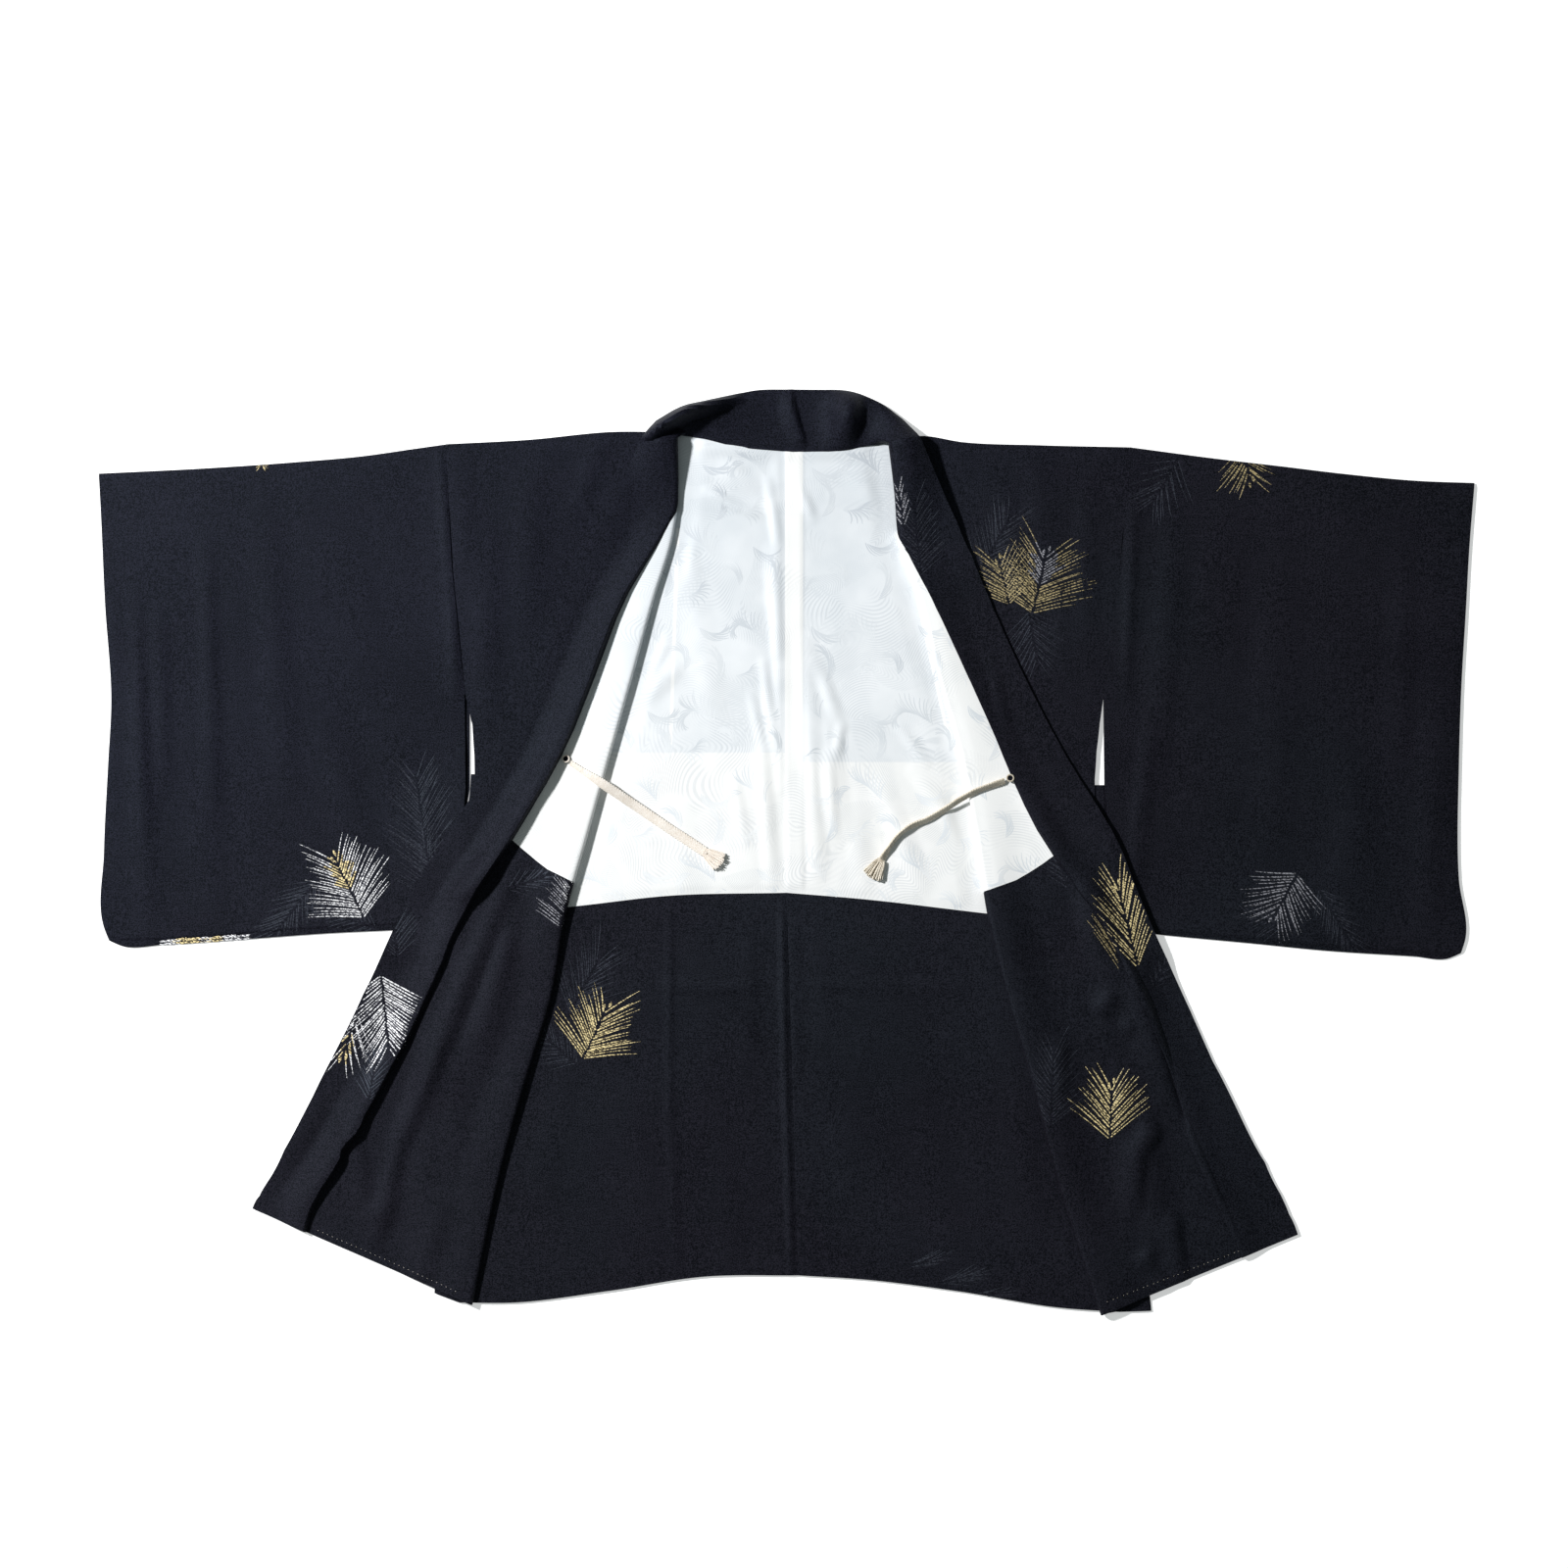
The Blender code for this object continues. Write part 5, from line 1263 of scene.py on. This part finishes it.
def woven_figures(threads, satins):
    """Every spray, draped on the piece that carries it, and the damask's plumes."""
    vertices, polygons, owners = [], [], []
    for item in bpy.data.objects:
        if item.name.startswith(("cloth_", "damask_")):
            first = len(vertices)
            vertices += [vertex.co for vertex in item.data.vertices]
            polygons += [tuple(index + first for index in polygon.vertices) for polygon in item.data.polygons]
            owners += [item.name] * len(item.data.polygons)
    tree = BVHTree.FromPolygons(vertices, polygons)
    tables = [("sprays", *row) for row in METAL_SPRAYS.items()]
    tables += [("shadow_sprays", *row) for row in SHADOW_SPRAYS.items()]
    for kind, node_name, sprays in tables:
        lines = [line for spray in sprays for line in needles(spray)]
        points, faces, laid = laid_needles(tree, owners, f"cloth_{node_name}", lines)
        item = new_object(f"{kind}_{node_name}", points, faces, threads[0])
        for material in threads[1:]:
            item.data.materials.append(material)
        item.data.polygons.foreach_set("material_index", [WOVEN.index(metal) for metal in laid])
    figure = plumes()
    for name, material in satins.items():
        points, faces, _ = laid_needles(tree, owners, f"damask_{name}", figure, PLUME_PROUD)
        new_object(f"plumes_{name}", points, faces, material)


def hem_stitches(side, material):
    """Small white stitches just inside the hem of a turned-back front, lying on its surface."""
    x0, y0, x1, y1, count, pair = HEM_STITCHES[side]
    front = bpy.data.objects[f"cloth_front_{side}"]
    run = np.array([x1 - x0, y1 - y0])
    along = run / math.hypot(*run)
    parts = []
    for number in range(count):
        middle = np.array([x0, y0]) + run * number / (count - 1) + along * pair * (number % 2)
        line = []
        for step, deep in HEM_STITCH:
            x, y = middle + along * step
            hit, place, _, _ = ray_down(front, x, y)
            if hit:
                line.append((x, y, place.z / MM - deep))
        if len(line) == 4:
            parts.append(thread(line, HEM_THREAD, 6))
    new_object(f"stitches_{side}", *gather(parts), material)


# ---------------------------------------------------------------- materials

def fill(item, inputs):
    """Gives a shader node its inputs: numbers, colours, or other nodes' outputs, which are linked."""
    for key, value in inputs.items():
        if isinstance(value, bpy.types.NodeSocket):
            item.id_data.links.new(value, item.inputs[key])
        else:
            item.inputs[key].default_value = value


def node(kind, inputs, output=0, **settings):
    """An output of a new shader node, in the tree of the outputs that it reads."""
    tree = next(value.id_data for value in inputs.values() if isinstance(value, bpy.types.NodeSocket))
    item = tree.nodes.new(kind)
    for key, value in settings.items():
        setattr(item, key, value)
    fill(item, inputs)
    return item.outputs[output]


def start_material(name):
    """A new material, and the object coordinates in it."""
    material = bpy.data.materials.new(name)
    material.use_nodes = True
    return material, material.node_tree.nodes.new("ShaderNodeTexCoord").outputs["Object"]


def finished(material, colour, roughness, bump=None, gloss=None, tint=None, metallic=0.0, glow=0.0):
    """A material with what its surface shows. bump is a height, its strength and its distance."""
    inputs = {"Base Color": colour, "Roughness": roughness, "Metallic": metallic, "Emission Strength": glow}
    if bump:
        inputs["Normal"] = node("ShaderNodeBump", dict(zip(("Height", "Strength", "Distance"), bump)))
    if gloss is not None:
        inputs["Specular IOR Level"] = gloss
    if tint:
        inputs["Specular Tint"] = tint
    fill(material.node_tree.nodes["Principled BSDF"], inputs)
    return material


def axes(place):
    """The x, y and z of a place."""
    return node("ShaderNodeSeparateXYZ", {0: place}, slice(None))


def stretched(place, scale):
    """A place with its axes scaled, so that noise read there runs in strands."""
    return node("ShaderNodeMapping", {"Vector": place, "Scale": scale})


def noise(place, scale=1.0, detail=2.0, roughness=0.5, output="Fac"):
    """Soft irregular noise."""
    inputs = {"Vector": place, "Scale": scale, "Detail": detail, "Roughness": roughness}
    return node("ShaderNodeTexNoise", inputs, output)


def maths(operation, a, b=0.0, c=0.0):
    """A step of arithmetic."""
    return node("ShaderNodeMath", {0: a, 1: b, 2: c}, operation=operation)


def times(a, b):
    """a times b."""
    return maths("MULTIPLY", a, b)


def plus_part(a, share, b):
    """a times share, plus b."""
    return maths("MULTIPLY_ADD", a, share, b)


def vector(operation, a, b):
    """A step of vector arithmetic."""
    second = "Scale" if operation == "SCALE" else 1
    return node("ShaderNodeVectorMath", {0: a, second: b}, operation=operation)


def ranged(value, low, high, to_low=0.0, to_high=1.0):
    """A value brought from one range to another with level ends."""
    inputs = {"Value": value, "From Min": low, "From Max": high, "To Min": to_low, "To Max": to_high}
    return node("ShaderNodeMapRange", inputs, interpolation_type="SMOOTHSTEP")


def mixed(share, a, b):
    """One colour blended into another."""
    a, b = (value if isinstance(value, bpy.types.NodeSocket) else (*value, 1.0) for value in (a, b))
    return node("ShaderNodeMix", {0: share, 6: a, 7: b}, 2, data_type="RGBA")


def crepe(name):
    """Bluish black silk crepe: fine crinkled grain, faint weft bars, a soft sheen, and a painted bluish sheen
    towards the upper left.
    """
    material, place = start_material(name)
    grain = noise(place, 900.0, 2.0, 0.7)
    tone = plus_part(noise(stretched(place, (70.0, 620.0, 70.0))), 0.13, grain)
    tone = plus_part(noise(stretched(place, (620.0, 60.0, 620.0))), 0.12, tone)
    tone = plus_part(noise(place, 7.0, 3.0), 0.14, tone)
    tint = ranged(noise(place, 3.2), 0.42, 0.66)
    light = mixed(tint, (0.0160, 0.0148, 0.0220), (0.0142, 0.0155, 0.0216))
    x, y, _ = axes(place)
    # painted sheen: the colour turns bluer towards the upper left
    light = mixed(ranged(plus_part(x, -0.6, y), 0.05, 0.45), light, (0.0140, 0.0142, 0.0236))
    colour = mixed(ranged(tone, 0.57, 0.81), (0.0012, 0.0011, 0.0020), light)
    return finished(material, colour, 0.60, (grain, 0.5, 0.0008), 0.10, SILK_TINT)


def black_float(name):
    """Smooth black floats of the sprays woven black on black: a shade lighter and glossier."""
    material, place = start_material(name)
    strand = noise(stretched(place, (500.0, 900.0, 500.0)), 1.0, 2.0, 0.7)
    colour = mixed(ranged(strand, 0.38, 0.64), (0.006, 0.0063, 0.009), (0.042, 0.044, 0.058))
    return finished(material, colour, plus_part(strand, 0.3, 0.30), (strand, 0.5, 0.0005), 0.20, SILK_TINT)


def line_mask(x, y, line):
    """1 on a slanting band from x, y to x, y in millimetres, of a half width, 0 beside it."""
    x0, y0, x1, y1, half = (value * MM for value in line)
    slope = (x1 - x0) / (y1 - y0)
    middle = plus_part(y, slope, x0 - slope * y0)
    away = maths("ABSOLUTE", maths("SUBTRACT", x, middle))
    mask = ranged(away, half - 0.0006, half + 0.0006, 1.0, 0.0)
    low, high = sorted((y0, y1))
    inside = times(ranged(y, low - 0.001, low), ranged(y, high, high + 0.001, 1.0, 0.0))
    return times(mask, inside)


def leaves(flat, scale, half_length, half_width, spacing, soft=0.0014):
    """Scattered leaves filled with curved barbs: a leaf's shape, the lines in it, a number of its own."""
    cell = {"Vector": flat, "Scale": scale}
    colour, middle = node("ShaderNodeTexVoronoi", cell, slice(1, 3), voronoi_dimensions="2D")
    hue = node("ShaderNodeSeparateColor", {0: colour}, slice(None))
    turn = {"Vector": vector("SUBTRACT", flat, middle), "Angle": times(hue[0], 6.28)}
    u, v, _ = axes(node("ShaderNodeVectorRotate", turn, rotation_type="Z_AXIS"))
    arch = maths("SUBTRACT", 1.0, maths("POWER", maths("ABSOLUTE", maths("DIVIDE", u, half_length)), 2.0))
    beside = maths("ABSOLUTE", plus_part(times(u, u), 5.0, v))
    leaf = ranged(maths("SUBTRACT", times(arch, half_width), beside), -soft, soft)
    rounded = maths("SQRT", plus_part(beside, beside, 9e-6))
    barb = plus_part(times(beside, beside), 20.0, plus_part(rounded, -1.25, u))
    lines = ranged(maths("SINE", times(barb, 2 * math.pi / spacing)), -0.4, 0.8)
    return leaf, lines, hue[1]


def past_step(y, step_y):
    """0 below a place in millimetres, 1 above it."""
    return ranged(y, (step_y - 1.0) * MM, (step_y + 1.0) * MM)


def damask(name, tones, step_y, bands):
    """White silk damask: faint leaves and arcs, greyer above the line where it is doubled beneath, but
    white on the bands."""
    material, place = start_material(name)
    bend = vector("SUBTRACT", noise(place, 8.0, 1.0, output="Color"), (0.5, 0.5, 0.5))
    flat = vector("MULTIPLY", vector("ADD", place, vector("SCALE", bend, 0.11)), (1.0, 1.0, 0.0))
    aside = vector("ADD", flat, (0.37, 0.21, 0.0))
    leaf, barbs, pick = leaves(flat, 15.0, 0.034, 0.013, 0.0030)
    lobe, veins, pick_lobe = leaves(aside, 8.5, 0.050, 0.020, 0.0062, 0.0065)
    fan, arcs, _ = leaves(aside, 12.0, 0.070, 0.050, 0.0030, 0.004)
    leaf_part = times(times(leaf, plus_part(barbs, 0.24, 0.03)), ranged(pick, 0.25, 0.75, 0.35, 1.0))
    lobe_part = times(times(lobe, plus_part(veins, 0.26, 0.06)), ranged(pick_lobe, 0.45, 0.70))
    arc_part = times(times(fan, arcs), times(ranged(noise(place, 24.0), 0.38, 0.60), 0.34))
    figure = maths("MAXIMUM", maths("MAXIMUM", leaf_part, lobe_part), arc_part)
    x, y, _ = axes(place)
    upper = past_step(y, step_y)
    doubled = [line_mask(x, y, band) for band in bands]
    while len(doubled) > 1:
        doubled[:2] = [maths("MAXIMUM", *doubled[:2])]
    if doubled:
        upper = times(upper, maths("SUBTRACT", 1.0, doubled[0]))
    cloud = ranged(noise(place, 14.0, 3.0, 0.6), 0.3, 0.7)
    grey = mixed(cloud, (0.695, 0.735, 0.775), (0.79, 0.82, 0.855))
    light_grey = mixed(cloud, (0.80, 0.83, 0.86), (0.90, 0.92, 0.945))
    grey = mixed(ranged(y, 0.10, 0.34, 1.0, 0.0), grey, light_grey)
    ground = mixed(upper, mixed(cloud, *tones), grey)
    strength = times(figure, plus_part(upper, 0.12, 0.80))
    if doubled:
        strength = times(strength, plus_part(doubled[0], -0.7, 1.0))
    colour = mixed(strength, ground, (0.47, 0.52, 0.57))
    relief = plus_part(noise(stretched(place, (900.0, 500.0, 900.0)), 1.0, 1.0), 0.4, figure)
    return finished(material, colour, plus_part(figure, 0.25, 0.36), (relief, 0.4, 0.0004), 0.4)


def satin(name, step_y):
    """Satin floats of the damask's plumes, a shade darker than the ground above and below the step."""
    material, place = start_material(name)
    _, y, _ = axes(place)
    patch_tone = ranged(noise(place, 20.0), 0.36, 0.64)
    white = mixed(patch_tone, (0.76, 0.80, 0.84), (0.90, 0.915, 0.93))
    low = mixed(patch_tone, (0.66, 0.70, 0.74), (0.82, 0.85, 0.88))
    high = mixed(patch_tone, (0.58, 0.62, 0.67), (0.73, 0.765, 0.80))
    grey = mixed(ranged(y, 0.10, 0.34), low, high)
    return finished(material, mixed(past_step(y, step_y), white, grey), 0.45, gloss=0.5)


def metal_thread(name, bright, dull):
    """Flat metal weft: rows of painted glints, the metal's reflection put into its colour, broken by the
    darker ground between the threads.
    """
    material, place = start_material(name)
    glint = noise(stretched(place, (480.0, 800.0, 480.0)), 1.0, 2.0, 0.7)
    x, y, _ = axes(place)
    rows = maths("SINE", times(plus_part(x, 0.55, y), 2 * math.pi / 0.0026))
    # the bright tone is painted glint; the dark one is the real ground between the threads
    colour = mixed(ranged(plus_part(rows, 0.05, glint), 0.44, 0.56), dull, bright)
    return finished(material, colour, plus_part(glint, -0.3, 0.55), (glint, 0.8, 0.0006), metallic=0.12)


def silk_thread(name, dark, light):
    """Silk thread with a fine twist."""
    material, place = start_material(name)
    strand = noise(place, 900.0, 2.0, 0.6)
    tone = ranged(maths("ADD", times(strand, 0.7), times(noise(place, 60.0), 0.3)), 0.3, 0.7)
    return finished(material, mixed(tone, dark, light), 0.5, (strand, 0.4, 0.0003))


# ---------------------------------------------------------------- floor, light and camera

def placed(name, data, place):
    """A lamp or camera at its place."""
    item = bpy.data.objects.new(name, data)
    item.location = place
    bpy.context.collection.objects.link(item)
    return item


def stage():
    """A plain pale floor, a key light from the upper left, a low even fill and the camera overhead."""
    bpy.ops.mesh.primitive_plane_add(size=FLOOR_SIZE, location=(0.0, 0.0, FLOOR_Z))
    floor = bpy.context.object
    floor.name = "floor"
    material, place = start_material("paper")
    tone = mixed(noise(place, 3.0), *FLOOR_TONES)
    floor.data.materials.append(finished(material, tone, 0.9, glow=FLOOR_GLOW))

    key = bpy.data.lights.new("key", "AREA")
    key.shape = "DISK"
    key.size = KEY_SIZE
    key.energy = KEY_POWER
    placed("key", key, KEY_PLACE).rotation_euler = Vector(KEY_PLACE).to_track_quat("Z", "Y").to_euler()

    world = bpy.data.worlds.new("studio")
    world.use_nodes = True
    fill(world.node_tree.nodes["Background"], {"Color": SKY, "Strength": SKY_POWER})
    bpy.context.scene.world = world
    bpy.context.scene.view_settings.view_transform = "Standard"

    lens = bpy.data.cameras.new("camera")
    lens.lens = LENS
    lens.sensor_width = SENSOR
    lens.clip_end = 50.0
    bpy.context.scene.camera = placed("camera", lens, CAMERA_PLACE)


def main():
    stage()
    black = crepe("crepe")
    silks = {side: silk_thread(*silk) for side, silk in SILKS.items()}
    for side, silk in silks.items():
        braid, points = cord(side, silk)
        threads = tassel(side, silk)
        chi(side, silk, black)
    for side in SIDES:
        white, white_front = (damask(f"damask_{name}", *LINING_TONES[name], LINING_BANDS.get(name, []))
                              for name in (f"back_{side}", f"front_{side}"))
        front = front_grid(side)
        back_panel(side, black)
        back_lining(side, white)
        front_panel(side, front, black)
        front_lining(side, front, white_front)
        collar(side, front, black)
        sleeve(side, black)
        gusset(side, black)
        hem_stitches(side, silks[side])
    threads = [metal_thread(f"{name}_thread", *tones) for name, tones in METALS.items()]
    satins = {name: satin(f"satin_{name}", LINING_TONES[name][1])
              for name in ("back_left", "back_right", "front_right")}
    woven_figures([*threads, black_float("black_float")], satins)


main()
